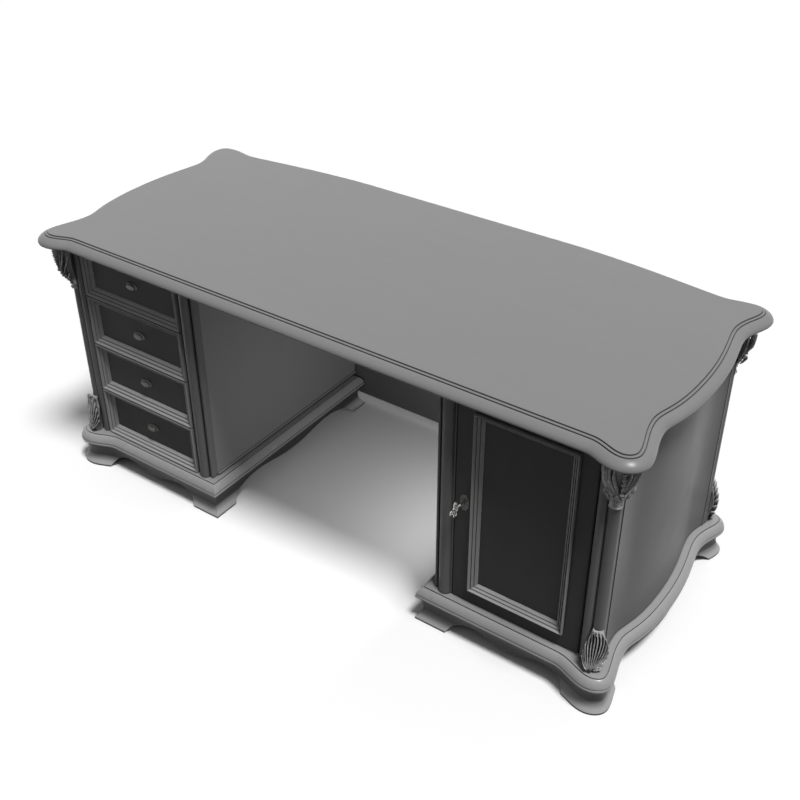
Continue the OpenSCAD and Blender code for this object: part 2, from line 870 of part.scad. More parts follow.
module lock_case() {
    color(metal_colour) difference() {
        block([lock_x0, door_y1, key_z - lock_below],
            [lock_x0 + lock_w, lock_y1, key_z - lock_below + lock_h]);
        block([lock_x0 + lock_skin, door_y1 + lock_skin, key_z - cavity_below],
            [lock_x0 + lock_w - lock_skin, lock_y1 - lock_skin, bolt_z0 + bolt_h + rest_gap]);
        block([lock_x0 - overrun, bolt_y0 - rest_gap, bolt_z0 - rest_gap],
            [lock_x0 + lock_w / 2, bolt_y0 + bolt_t + rest_gap, bolt_z0 + bolt_h + rest_gap]);
        facing(key_x, door_y1 + lock_skin + overrun, key_z)
            cylinder(r = key_r + 2 * turn_fit, h = lock_skin + 2 * overrun);
        facing(key_x, door_y1 + lock_skin + overrun, key_z)
            translate([-keyway_w / 2, -bit_l - rest_gap, 0])
                cube([keyway_w, bit_l, lock_skin + 2 * overrun]);
    }
}

// The bolt has a talon that the key's bit throws
module lock_bolt() {
    color(metal_colour) {
        block([lock_x0 + bolt_in - lock_in, bolt_y0, bolt_z0],
            [lock_x0 + bolt_in - lock_in + bolt_l, bolt_y0 + bolt_t, bolt_z0 + bolt_h]);
        block([lock_x0 + talon_in, bolt_y0, bolt_z0 - talon_drop],
            [lock_x0 + talon_in + talon_w, bolt_y0 + bolt_t, bolt_z0]);
    }
}

module escutcheon() {
    plate = [
        for (k = [0:escutcheon_points - 1])
            let (a = 360 * k / escutcheon_points, r = 1 - scallop_depth_share * pow(cos(3 * a), 2))
            [r * escutcheon_w / 2 * cos(a), r * escutcheon_h / 2 * sin(a)]
    ];
    color(metal_colour) difference() {
        facing(key_x, front_y, key_z - escutcheon_drop)
            linear_extrude(escutcheon_t) polygon(plate);
        key_passage(keyhole_r, keyway_w, overrun);
    }
}

// A ring in the plane of the key's bow
module bow_ring(r) {
    difference() {
        circle(r + bow_wire_r);
        circle(r - bow_wire_r);
    }
}

// The key points into the lock, with its bit down and its bow on edge to the sitter
module key() {
    tip_y = lock_y1 - lock_skin - key_tip_gap;
    bow_y = front_y - key_proj + lobe_out + lobe_r + bow_wire_r;
    color(metal_colour) {
        translate([key_x, tip_y, key_z]) rotate([90, 0, 0])
            cylinder(r = key_r, h = tip_y - bow_y - bow_r);
        translate([key_x, bow_y + bow_r + bow_wire_r + collar_t, key_z]) rotate([90, 0, 0])
            cylinder(r = collar_r, h = collar_t);
        block([key_x - bit_t / 2, bolt_y0 + seat_fit, key_z - bit_l],
            [key_x + bit_t / 2, bolt_y0 + seat_fit + bit_w, key_z]);
        translate([key_x - bow_wire_r, bow_y, key_z]) rotate([0, 90, 0])
            linear_extrude(2 * bow_wire_r) {
                bow_ring(bow_r);
                for (k = [0:bow_lobes - 1])
                    rotate(90 * (k - 1)) translate([0, -lobe_out]) bow_ring(lobe_r);
            }
    }
}

// Carvings, drawn for the front post on the +X side

// A point moved out from the centre of the post's column to at least r
function clear_of(p, r) = norm(p) < r ? p * r / norm(p) : p;

// A fluted ring round the front of the post's column, with a hollow of flats to fit it
function fluted(angles, flats, reach_in, reach_out, reach_front, flutes, depth_share, z) =
    let (hollow_r = (post_col_r + seat_fit) / cos(hollow_step_angle / 2))
    concat(
        [
            for (k = [0:flute_points])
                let (
                    t = k / flute_points,
                    a = angles[0] + (angles[1] - angles[0]) * t,
                    f = 1 - depth_share * pow(cos(180 * flutes * t), 2),
                    rx = cos(a) < 0 ? reach_in : reach_out,
                    p = clear_of(f * [rx * cos(a), reach_front * sin(a)], hollow_r + carving_t)
                )
                [p.x, p.y, z]
        ],
        [
            for (k = [flats:-1:0])
                let (b = hollow_start_angle + hollow_step_angle * k)
                [hollow_r * cos(b), hollow_r * sin(b), z]
        ]
    );

module corbel() {
    color(trim_colour) translate([case_x - post_col_r, front_y + post_set, under_top - corbel_h])
        loft([
            for (p = corbel_shares)
                fluted(corbel_angles, corbel_flats, corbel_inner_reach * p[1],
                    corbel_outer_reach * p[1], corbel_reach * p[1], corbel_flutes,
                    corbel_flute_share, p[0] * corbel_h)
        ]);
}

module leaf() {
    color(trim_colour) translate([case_x - post_col_r, front_y + post_set, plinth_top])
        loft([
            for (p = leaf_shares)
                fluted(leaf_angles, leaf_flats, leaf_half_w * p[1], leaf_half_w * p[1],
                    leaf_reach * p[2], leaf_flutes, leaf_flute_share, p[0] * leaf_h)
        ]);
}

desktop();
modesty_panel();
top_screws();
on_left() plinth();  // left_plinth
on_left() base_frame();  // left_base_frame
on_left() outer_side();  // left_outer_side
on_left() inner_side();  // left_inner_side
on_left() back();  // left_back
on_left() bottom_board();  // left_bottom_board
on_left() top_rails();  // left_top_rails
on_left() outer_post();  // left_outer_post
on_left() inner_post();  // left_inner_post
on_left() at_rear() outer_post();  // left_rear_post
plinth();  // right_plinth
base_frame();  // right_base_frame
difference() {  // right_outer_side
    outer_side();
    pins(pin_r + turn_fit, pin_in + seat_fit, pin_out);
}
difference() {  // right_inner_side
    inner_side();
    pins(pin_r + turn_fit, pin_in + seat_fit, pin_out);
}
back();  // right_back
bottom_board();  // right_bottom_board
top_rails();  // right_top_rails
outer_post();  // right_outer_post
inner_post();  // right_inner_post
at_rear() outer_post();  // right_rear_post
on_left() drawer_runners();
on_left() drawer_rails();
on_left() drawer_front(1);  // drawer_1_front
on_left() drawer_box(1);  // drawer_1_box
on_left() drawer_bottom(1);  // drawer_1_bottom
on_left() drawer_pull(1);  // drawer_1_pull
on_left() drawer_front(2);  // drawer_2_front
on_left() drawer_box(2);  // drawer_2_box
on_left() drawer_bottom(2);  // drawer_2_bottom
on_left() drawer_pull(2);  // drawer_2_pull
on_left() drawer_front(3);  // drawer_3_front
on_left() drawer_box(3);  // drawer_3_box
on_left() drawer_bottom(3);  // drawer_3_bottom
on_left() drawer_pull(3);  // drawer_3_pull
on_left() drawer_front(4);  // drawer_4_front
on_left() drawer_box(4);  // drawer_4_box
on_left() drawer_bottom(4);  // drawer_4_bottom
on_left() drawer_pull(4);  // drawer_4_pull
shelf();
shelf_pins();
door_frame();
door_panel();
door_moulding();
door_pivot_bushes();
case_pivots();
lock_case();
lock_bolt();
escutcheon();
key();
on_left() corbel();  // left_front_corbel
on_left() at_rear() corbel();  // left_rear_corbel
corbel();  // right_front_corbel
at_rear() corbel();  // right_rear_corbel
on_left() leaf();  // left_front_leaf
on_left() at_rear() leaf();  // left_rear_leaf
leaf();  // right_front_leaf
at_rear() leaf();  // right_rear_leaf
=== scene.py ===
"""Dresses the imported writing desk: finer mouldings, carving and fittings, and its finishes.

Everything is in metres, in the frame of the CAD model. The sizes of the serpentine
mouldings repeat those of the part's source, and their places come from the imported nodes.
"""

import json
import logging
import math
from dataclasses import dataclass, field
from enum import Enum

import bmesh
import bpy
import numpy as np
from mathutils import Matrix, Vector


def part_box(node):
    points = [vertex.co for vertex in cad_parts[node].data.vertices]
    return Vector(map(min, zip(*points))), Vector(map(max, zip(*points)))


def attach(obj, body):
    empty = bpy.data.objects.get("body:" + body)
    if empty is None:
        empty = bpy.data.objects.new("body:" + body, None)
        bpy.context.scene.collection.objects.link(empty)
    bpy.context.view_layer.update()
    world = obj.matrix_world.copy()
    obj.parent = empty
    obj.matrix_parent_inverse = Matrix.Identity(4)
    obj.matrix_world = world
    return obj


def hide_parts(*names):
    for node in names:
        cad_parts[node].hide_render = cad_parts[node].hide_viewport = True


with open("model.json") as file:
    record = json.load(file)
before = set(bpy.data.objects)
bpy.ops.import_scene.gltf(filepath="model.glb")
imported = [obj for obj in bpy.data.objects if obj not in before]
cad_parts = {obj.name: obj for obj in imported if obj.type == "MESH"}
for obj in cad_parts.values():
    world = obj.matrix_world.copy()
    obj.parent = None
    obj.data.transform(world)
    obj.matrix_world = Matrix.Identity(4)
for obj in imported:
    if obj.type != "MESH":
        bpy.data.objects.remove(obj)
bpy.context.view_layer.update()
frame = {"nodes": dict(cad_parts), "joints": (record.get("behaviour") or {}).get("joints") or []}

LOG = logging.getLogger("writing_desk")
MM = 0.001
TINY = 1e-6
SOFT_STEPS = 2
SHADE_WEIGHT = 80
ARC_STEPS = 40
DRAWERS = 4
A_COLOUR, B_COLOUR, MIXED_COLOUR = 6, 7, 2
Pair = tuple[float, float]
Triple = tuple[float, float, float]
Pairs = tuple[Pair, ...]
Colour = Triple
Array = np.ndarray
Object = bpy.types.Object
Node = bpy.types.Node
Socket = bpy.types.NodeSocket


class Side(Enum):
    """The pedestal that a piece belongs to, with the sign of its x."""

    LEFT = -1
    RIGHT = 1

    @property
    def label(self) -> str:
        """The side's name as the CAD nodes spell it."""
        return self.name.lower()


class Grain(Enum):
    """Which way the figure of the timber runs under the lacquer."""

    ALONG = (0.12, 1.0, 1.0)
    UPRIGHT = (1.0, 1.0, 0.12)
    DEEP = (1.0, 0.12, 1.0)
    EVEN = (1.0, 1.0, 1.0)


# Finishes


@dataclass(frozen=True)
class Lacquer:
    """A satin lacquer over close-grained timber.

    Args:
        name: Name of the material.
        slot: The record's material slot; not used by this script.
        colour: Linear colour of the paint.
        grain: Direction of the timber's figure.
        roughness: Roughness of a clean flat.
        figure: How much the figure shows in the colour.
        wear_and_highlight: How much paler the edges are, as rubbed paint and as painted highlight, the
            latter strongest on the carving.
        dust: How much shade is painted in the hollows, where grime also dulls the lacquer.
        shine: Specular level of the lacquer.
        reach: How far a neighbouring surface still makes a hollow.
        under: How much shade is painted on faces that turn down.
        clear: Rise of a face's normal from which no shade is painted.
        pale_edge_width: Width of the pale edges.
    """

    name: str
    slot: str
    colour: Colour
    grain: Grain = Grain.EVEN
    roughness: float = 0.36
    figure: float = 0.06
    wear_and_highlight: float = 0.35
    dust: float = 0.75
    shine: float = 0.4
    reach: float = 8 * MM
    under: float = 0.0
    clear: float = 0.08
    pale_edge_width: float = 1.6 * MM


@dataclass(frozen=True)
class Metal:
    """A cast or turned metal with a dark patina in its hollows.

    Args:
        name: Name of the material.
        slot: The record's material slot; not used by this script.
        colour: Linear colour of the bright metal.
        patina: Linear colour of the hollows.
        roughness: Roughness of the bright metal.
        polish: How much brighter the high points are, as polished metal and as painted highlight.
    """

    name: str
    slot: str
    colour: Colour
    patina: Colour
    roughness: float = 0.34
    polish: float = 1.3


def grey(tone: float) -> Colour:
    """A neutral colour of one linear tone."""
    return (tone, tone, tone)


# Every lacquer below is one grey paint, given a different tone on each kind of piece as painted light and
# shade: the fronts, sides and posts darker than the top, the mouldings, base, carving, corbels and kneehole
# sides paler.
DESKTOP = Lacquer(
    "desktop_lacquer", "desktop_lacquer", grey(0.232), Grain.ALONG, roughness=0.33, shine=0.3, under=0.9,
)
TRIM = Lacquer(
    "trim_lacquer", "trim_lacquer", grey(0.345), roughness=0.27, shine=0.42, reach=5 * MM, under=0.9,
)
MOULDED = Lacquer(
    "moulding_lacquer", "trim_lacquer", grey(0.44), roughness=0.34, wear_and_highlight=0.6, dust=0.9, shine=0.15,
    reach=5 * MM, under=0.8,
)
# The base's cove is darkened as painted shade on every face not turned well up.
BASE = Lacquer(
    "base_lacquer", "trim_lacquer", grey(0.4), roughness=0.27, dust=0.9, shine=0.36,
    reach=14 * MM, under=0.98, clear=0.58,
)
LEAFY = Lacquer(
    "leaf_lacquer", "trim_lacquer", grey(0.46), roughness=0.3, figure=0.04, wear_and_highlight=1.0, dust=0.98,
    shine=0.25, reach=8 * MM, under=0.95, clear=0.2, pale_edge_width=3 * MM,
)
# Corbels paler than the leaves, as they stand in the top's shadow: painted light.
CORBEL_PAINTED_LIGHT = Lacquer(
    "corbel_lacquer_painted_light", "trim_lacquer", grey(0.66), roughness=0.28, figure=0.04, wear_and_highlight=1.0, dust=0.9,
    shine=0.4, reach=5 * MM, under=0.97, clear=0.3, pale_edge_width=3 * MM,
)
# Posts, sides, backs and modesty panel darker than the top: painted shade.
POST_PAINTED_SHADE = Lacquer("post_lacquer_painted_shade", "trim_lacquer", grey(0.17), Grain.UPRIGHT, roughness=0.36, shine=0.12)
CASE_PAINTED_SHADE = Lacquer("case_lacquer", "case_lacquer", grey(0.17), Grain.UPRIGHT, roughness=0.42, shine=0.1)
# Kneehole sides paler than the outer sides, against the top's shadow: painted light.
INNER_PAINTED_LIGHT = Lacquer(
    "inner_case_lacquer_painted_light", "case_lacquer", grey(0.25), Grain.UPRIGHT, roughness=0.42, shine=0.1,
)
# Front flats much darker than the rest of the paint: painted shade.
FRONT_PAINTED_SHADE = Lacquer(
    "front_lacquer", "front_lacquer", (0.064, 0.064, 0.065), Grain.UPRIGHT, roughness=0.45,
    figure=0.12, wear_and_highlight=0.3, dust=0.5, shine=0.08,
)
INSIDE = Lacquer(
    "inside_wood", "inside_wood", (0.34, 0.28, 0.21), Grain.DEEP, roughness=0.62,
    figure=0.3, wear_and_highlight=0.1, dust=0.5, shine=0.2,
)
# The pewter of the pulls, and deeper still of the escutcheon, is darkened as painted shade; the key's is
# paler than the pewter as painted light.
PEWTER_PAINTED_SHADE = Metal("pewter", "pewter", (0.085, 0.084, 0.08), grey(0.006), polish=5.0)
PEWTER_DEEPER_SHADE = Metal("pewter_painted_deeper_shade", "pewter", (0.05, 0.0494, 0.0468), grey(0.004), 0.36, 8.0)
PEWTER_PAINTED_LIGHT = Metal("pewter_painted_light_key", "pewter", (0.5, 0.49, 0.465), grey(0.02), 0.32)
STEEL = Metal("steel", "steel", (0.42, 0.42, 0.43), (0.08, 0.08, 0.085), 0.28)


@dataclass
class NodeTree:
    """A short way to add and join shader nodes.

    Args:
        tree: The node tree to build in.
    """

    tree: bpy.types.NodeTree

    def add(self, kind: str, **settings: object) -> Node:
        """Adds a node.

        Args:
            kind: Blender's type name of the node.
            settings: Properties to set on it.

        Returns:
            The new node.
        """
        node = self.tree.nodes.new(kind)
        for key, value in settings.items():
            setattr(node, key, value)
        return node

    def join(self, source: Socket, target: Socket) -> None:
        """Links one socket to another.

        Args:
            source: The output socket.
            target: The input socket.
        """
        self.tree.links.new(source, target)

    def feed(self, target: Socket, value: object) -> None:
        """Links a socket to a target, or sets the target's own value.

        Args:
            target: The input socket.
            value: A socket, a number, a vector or a colour.
        """
        if isinstance(value, Socket):
            self.join(value, target)
        elif isinstance(value, tuple) and target.type == "RGBA":
            target.default_value = (*value, 1.0)
        else:
            target.default_value = value

    def math(self, kind: str, a: object, b: object = 0.0, clamp: bool = False) -> Socket:
        """Adds a Math node and gives its result.

        Args:
            kind: The operation.
            a: First value or socket.
            b: Second value or socket.
            clamp: Whether the result is held between 0 and 1.

        Returns:
            The result's socket.
        """
        node = self.add("ShaderNodeMath", operation=kind, use_clamp=clamp)
        self.feed(node.inputs[0], a)
        self.feed(node.inputs[1], b)
        return node.outputs[0]

    def blend(self, share: object, a: object, b: object) -> Socket:
        """Mixes two colours.

        Args:
            share: How much of the second shows, 0 to 1.
            a: First colour or socket.
            b: Second colour or socket.

        Returns:
            The mixed colour's socket.
        """
        node = self.add("ShaderNodeMix", data_type="RGBA")
        self.feed(node.inputs["Factor"], share)
        self.feed(node.inputs[A_COLOUR], a)
        self.feed(node.inputs[B_COLOUR], b)
        return node.outputs[MIXED_COLOUR]

    def span(self, value: object, low: object, high: object, falls: bool = False) -> Socket:
        """Maps a range of values to 0 to 1, or to 1 to 0, and clamps it.

        Args:
            value: The value or socket.
            low: Value at one end.
            high: Value at the other end.
            falls: Whether the result is 1 at low and 0 at high.

        Returns:
            The result's socket.
        """
        node = self.add("ShaderNodeMapRange")
        ends = {
            "Value": value, "From Min": low, "From Max": high,
            "To Min": float(falls), "To Max": float(not falls),
        }
        for name, number in ends.items():
            self.feed(node.inputs[name], number)
        return node.outputs["Result"]

    def noise(
        self, place: Socket, scale: float, detail: float, distortion: float = 0.0,
    ) -> Socket:
        """Adds a noise.

        Args:
            place: Where it is read.
            scale: Its scale.
            detail: Its detail.
            distortion: Its distortion.

        Returns:
            Its value's socket.
        """
        node = self.add("ShaderNodeTexNoise")
        self.join(place, node.inputs["Vector"])
        for name, value in (("Scale", scale), ("Detail", detail), ("Distortion", distortion)):
            node.inputs[name].default_value = value
        return node.outputs["Fac"]


class Effects:
    """The node groups that the finishes share: figure, pale edges, shaded hollows and painted shade on
    faces that turn down.
    """

    FIGURE_NOISE = (28.0, 6.0, 0.6)
    PORE_NOISE = (620.0, 3.0)
    PATCH_NOISE = (9.0, 4.0)
    BREAK_NOISE = (90.0, 5.0)
    PORE_SPAN = (0.34, 0.48)
    PORE_SHARE = 0.35
    EDGE_SPAN = (0.45, 0.8)
    BREAK_SPAN = (0.35, 0.65)
    HOLLOW_SPAN = (0.45, 0.94)

    def __init__(self) -> None:
        """Builds each group once."""
        self.figure = self._figure()
        self.edges = self._edges()
        self.hollows = self._hollows()
        self.undersides = self._undersides()

    @staticmethod
    def _group(
        name: str, inputs: dict[str, object], outputs: tuple[str, ...],
    ) -> tuple[NodeTree, Node, Node]:
        """Makes an empty group with named sockets.

        Args:
            name: Name of the group.
            inputs: Default value of each input, a number or a vector.
            outputs: Names of the outputs, which are all numbers.

        Returns:
            The group's tree, its input node and its output node.
        """
        group = bpy.data.node_groups.new(name, "ShaderNodeTree")
        for label, value in inputs.items():
            kind = "NodeSocketVector" if isinstance(value, tuple) else "NodeSocketFloat"
            group.interface.new_socket(label, in_out="INPUT", socket_type=kind).default_value = value
        for label in outputs:
            group.interface.new_socket(label, in_out="OUTPUT", socket_type="NodeSocketFloat")
        tree = NodeTree(group)
        return tree, tree.add("NodeGroupInput"), tree.add("NodeGroupOutput")

    def _figure(self) -> bpy.types.NodeTree:
        """Figure and pores of the timber: a soft stretched figure and fine short pores.

        Returns:
            The node group.
        """
        tree, source, result = self._group(
            "timber_figure", {"Stretch": (1.0, 1.0, 1.0), "Figure": 0.1}, ("Tone", "Height", "Sheen"),
        )
        place = tree.add("ShaderNodeTexCoord").outputs["Object"]
        stretched = tree.add("ShaderNodeVectorMath", operation="MULTIPLY")
        tree.join(place, stretched.inputs[0])
        tree.join(source.outputs["Stretch"], stretched.inputs[1])
        broad = tree.noise(stretched.outputs[0], *self.FIGURE_NOISE)
        fine = tree.noise(stretched.outputs[0], *self.PORE_NOISE)
        patches = tree.noise(place, *self.PATCH_NOISE)
        pores = tree.span(fine, *self.PORE_SPAN, falls=True)
        tone = tree.math("MULTIPLY", tree.math("SUBTRACT", broad, 0.5), source.outputs["Figure"])
        tone = tree.math("ADD", tone, 1.0)
        depth = tree.math("MULTIPLY", source.outputs["Figure"], self.PORE_SHARE)
        dark = tree.math("MULTIPLY", pores, depth)
        tree.join(tree.math("SUBTRACT", tone, dark), result.inputs["Tone"])
        tree.join(tree.math("SUBTRACT", 1.0, pores), result.inputs["Height"])
        tree.join(tree.math("SUBTRACT", patches, 0.5), result.inputs["Sheen"])
        return tree.tree

    def _edges(self) -> bpy.types.NodeTree:
        """Mask of the outward edges, broken up by noise, that the finishes paint paler: partly rubbed paint
        and polished metal, partly painted highlight, most of all along the carving's ridges.

        Returns:
            The node group.
        """
        tree, source, result = self._group("pale_edges_rubbed_and_highlit", {"Width": 0.0015}, ("Mask",))
        inside = tree.add("ShaderNodeAmbientOcclusion", samples=6, inside=True, only_local=True)
        tree.join(source.outputs["Width"], inside.inputs["Distance"])
        breaks = tree.noise(tree.add("ShaderNodeTexCoord").outputs["Object"], *self.BREAK_NOISE)
        edge = tree.span(inside.outputs["AO"], *self.EDGE_SPAN, falls=True)
        rubbed = tree.span(breaks, *self.BREAK_SPAN)
        tree.join(tree.math("MULTIPLY", edge, rubbed), result.inputs["Mask"])
        return tree.tree

    def _hollows(self) -> bpy.types.NodeTree:
        """Mask of the hollows, from ambient occlusion: the lacquers paint shade there and grow duller as
        grime would, the metals lay their patina there.

        Returns:
            The node group.
        """
        tree, source, result = self._group("occluded_hollows", {"Reach": 0.01}, ("Mask",))
        near = tree.add("ShaderNodeAmbientOcclusion", samples=8)
        tree.join(source.outputs["Reach"], near.inputs["Distance"])
        tree.join(tree.span(near.outputs["AO"], *self.HOLLOW_SPAN, falls=True), result.inputs["Mask"])
        return tree.tree

    def _undersides(self) -> bpy.types.NodeTree:
        """Mask of the faces that turn down, where shade is painted.

        Returns:
            The node group.
        """
        tree, source, result = self._group("dark_undersides", {"Deep": -0.32, "Clear": 0.08}, ("Mask",))
        facing = tree.add("ShaderNodeNewGeometry")
        split = tree.add("ShaderNodeSeparateXYZ")
        tree.join(facing.outputs["Normal"], split.inputs[0])
        share = tree.span(split.outputs["Z"], source.outputs["Deep"], source.outputs["Clear"], falls=True)
        tree.join(share, result.inputs["Mask"])
        return tree.tree


@dataclass
class Paints:
    """Makes each finish once, as a material.

    Args:
        effects: The shared node groups.
        made: The materials made so far, by name.
    """

    # Pale edge colour from rubbing and painted highlight, the share of colour left in the painted shade,
    # and how far the shade on turned-down faces fades in.
    PALE_GAIN = 1.6
    PALE_LIFT = 0.03
    SHADE_SHARE = 0.12
    PAINTED_SHADE_FADE = 0.4
    LACQUER_SHEEN = 0.18
    LACQUER_DULL = 0.3
    LACQUER_PORES = (0.12, 0.12 * MM)
    METAL_FIGURE = 0.2
    METAL_PALE_EDGE_WIDTH = 0.8 * MM
    METAL_PALE_EDGE_SHARE = 0.8
    METAL_REACH = 4 * MM
    METAL_PATINA = 0.85
    METAL_SHEEN = 0.25
    METAL_DULL = 0.35
    METAL_PORES = (0.15, 0.1 * MM)

    effects: Effects
    made: dict[str, bpy.types.Material] = field(default_factory=dict)

    def get(self, finish: Lacquer | Metal) -> bpy.types.Material:
        """The material of a finish.

        Args:
            finish: The finish.

        Returns:
            Its material, made on first use.
        """
        if finish.name not in self.made:
            make = self._lacquer if isinstance(finish, Lacquer) else self._metal
            self.made[finish.name] = make(finish)
        return self.made[finish.name]

    @staticmethod
    def _start(name: str) -> tuple[bpy.types.Material, NodeTree, Node]:
        """Starts a material.

        Args:
            name: Name of the material.

        Returns:
            The material, its tree and its Principled BSDF.
        """
        material = bpy.data.materials.new(name)
        material.use_nodes = True
        return material, NodeTree(material.node_tree), material.node_tree.nodes["Principled BSDF"]

    @staticmethod
    def _effect(tree: NodeTree, group: bpy.types.NodeTree, **values: object) -> Node:
        """Places a shared effect in a material.

        Args:
            tree: The material's tree.
            group: The effect's node group.
            values: Values of its inputs.

        Returns:
            The group's node.
        """
        node = tree.add("ShaderNodeGroup", node_tree=group)
        for name, value in values.items():
            tree.feed(node.inputs[name], value)
        return node

    @staticmethod
    def _pores(tree: NodeTree, shader: Node, height: Socket, size: Pair) -> None:
        """Lets the pores show in a surface's relief.

        Args:
            tree: The material's tree.
            shader: Its Principled BSDF.
            height: The pores' height.
            size: Strength and depth of the relief.
        """
        bump = tree.add("ShaderNodeBump")
        bump.inputs["Strength"].default_value, bump.inputs["Distance"].default_value = size
        tree.join(height, bump.inputs["Height"])
        tree.join(bump.outputs["Normal"], shader.inputs["Normal"])

    def _lacquer(self, finish: Lacquer) -> bpy.types.Material:
        """Builds a lacquer.

        Args:
            finish: The finish.

        Returns:
            Its material.
        """
        material, tree, shader = self._start(finish.name)
        figure = self._effect(tree, self.effects.figure, Stretch=finish.grain.value, Figure=finish.figure)
        edges = self._effect(tree, self.effects.edges, Width=finish.pale_edge_width)
        hollows = self._effect(tree, self.effects.hollows, Reach=finish.reach)
        # The pale edge colour, from rubbing and painted highlight, and the colour of the painted shade.
        pale = tuple(min(1.0, c * self.PALE_GAIN + self.PALE_LIFT) for c in finish.colour)
        dark = tuple(c * self.SHADE_SHARE for c in finish.colour)
        pale_edge_share = tree.math("MULTIPLY", edges.outputs["Mask"], finish.wear_and_highlight)
        shade_and_dust = tree.math("MULTIPLY", hollows.outputs["Mask"], finish.dust)
        # Painted shade on faces that turn down, joined to the shade painted in the hollows.
        if finish.under:
            deep = finish.clear - self.PAINTED_SHADE_FADE
            below = self._effect(tree, self.effects.undersides, Deep=deep, Clear=finish.clear)
            down_shade_share = tree.math("MULTIPLY", below.outputs["Mask"], finish.under)
            shade_and_dust = tree.math("MAXIMUM", shade_and_dust, down_shade_share)
        # Painted shade first, then the pale edges over it, so the carving's ridges stay light.
        colour = tree.blend(pale_edge_share, tree.blend(shade_and_dust, finish.colour, dark), pale)
        toned = tree.add("ShaderNodeVectorMath", operation="SCALE")
        tree.join(colour, toned.inputs[0])
        tree.join(figure.outputs["Tone"], toned.inputs["Scale"])
        tree.join(toned.outputs[0], shader.inputs["Base Color"])
        rough = tree.math("MULTIPLY", figure.outputs["Sheen"], self.LACQUER_SHEEN)
        rough = tree.math("ADD", rough, finish.roughness)
        rough = tree.math("ADD", rough, tree.math("MULTIPLY", shade_and_dust, self.LACQUER_DULL), clamp=True)
        tree.join(rough, shader.inputs["Roughness"])
        self._pores(tree, shader, figure.outputs["Height"], self.LACQUER_PORES)
        shader.inputs["Specular IOR Level"].default_value = finish.shine
        return material

    def _metal(self, finish: Metal) -> bpy.types.Material:
        """Builds a metal.

        Args:
            finish: The finish.

        Returns:
            Its material.
        """
        material, tree, shader = self._start(finish.name)
        figure = self._effect(tree, self.effects.figure, Stretch=Grain.EVEN.value, Figure=self.METAL_FIGURE)
        edges = self._effect(tree, self.effects.edges, Width=self.METAL_PALE_EDGE_WIDTH).outputs["Mask"]
        hollows = self._effect(tree, self.effects.hollows, Reach=self.METAL_REACH).outputs["Mask"]
        # High points paler, as polished metal and as painted highlight; the hollows take the patina.
        bright = tuple(min(1.0, c * finish.polish) for c in finish.colour)
        colour = tree.blend(tree.math("MULTIPLY", edges, self.METAL_PALE_EDGE_SHARE), finish.colour, bright)
        colour = tree.blend(tree.math("MULTIPLY", hollows, self.METAL_PATINA), colour, finish.patina)
        tree.join(colour, shader.inputs["Base Color"])
        rough = tree.math("ADD", tree.math("MULTIPLY", hollows, self.METAL_DULL), finish.roughness)
        swing = tree.math("MULTIPLY", figure.outputs["Sheen"], self.METAL_SHEEN)
        tree.join(tree.math("ADD", rough, swing, clamp=True), shader.inputs["Roughness"])
        self._pores(tree, shader, figure.outputs["Height"], self.METAL_PORES)
        shader.inputs["Metallic"].default_value = 1.0
        return material


# Curves and meshes


def taper(low: float, high: float, power: float, parts: int) -> Array:
    """Thickness of a stroke that thins towards its ends.

    Args:
        low: Where on half a wave it starts, 0 to 1.
        high: Where it ends.
        power: How suddenly it thins.
        parts: Number of points.

    Returns:
        The share of the full thickness at each point.
    """
    return np.sin(math.pi * np.linspace(low, high, parts)) ** power


def full_turn(parts: int) -> Array:
    """Angles of evenly spaced points round a circle."""
    return np.linspace(0, 2 * math.pi, parts, endpoint=False)


def cubic(a: Array, ta: Array, b: Array, tb: Array, n: int) -> Array:
    """Points of a cubic that leaves a along ta and arrives at b along tb, without b.

    Args:
        a: Start.
        ta: Handle at the start.
        b: End.
        tb: Handle at the end.
        n: Number of points.

    Returns:
        The points, one a row.
    """
    t = (np.arange(n) / n)[:, None]
    s = 1 - t
    return s**3 * a + 3 * s * s * t * (a + ta) + 3 * s * t * t * (b - tb) + t**3 * b


def eased(points: Array, corners: set[int], steps: int = 4) -> Array:
    """A smooth line through points that stays sharp at its corners.

    Args:
        points: The points, one a row.
        corners: Indices where the line turns sharply. Both ends are corners.
        steps: Pieces between two neighbouring points of a smooth run.

    Returns:
        The finer line.
    """
    points = np.asarray(points, float)
    stops = sorted(corners | {0, len(points) - 1})
    line = [points[0]]
    for first, last in zip(stops, stops[1:]):
        run = points[first:last + 1]
        if len(run) == 2:
            line.append(run[1])
            continue
        padded = np.vstack([2 * run[0] - run[1], run, 2 * run[-1] - run[-2]])
        for i in range(1, len(padded) - 2):
            p0, p1, p2, p3 = padded[i - 1:i + 3]
            bend = 2 * p0 - 5 * p1 + 4 * p2 - p3
            twist = 3 * p1 - p0 - 3 * p2 + p3
            for t in np.arange(1, steps + 1) / steps:
                line.append(0.5 * (2 * p1 + (p2 - p0) * t + bend * t * t + twist * t**3))
    return np.array(line)


def shifted(outline: Array, d: float) -> Array:
    """An outline that runs anticlockwise, moved outward and mitred at its corners.

    Args:
        outline: The points, one a row.
        d: How far it moves.

    Returns:
        The moved outline.
    """
    u = outline - np.roll(outline, 1, 0)
    v = np.roll(outline, -1, 0) - outline
    u /= np.linalg.norm(u, axis=1)[:, None]
    v /= np.linalg.norm(v, axis=1)[:, None]
    n = np.stack([u[:, 1] + v[:, 1], -u[:, 0] - v[:, 0]], 1)
    n /= np.linalg.norm(n, axis=1)[:, None]
    return outline + n * (d / (n[:, 0] * u[:, 1] - n[:, 1] * u[:, 0]))[:, None]


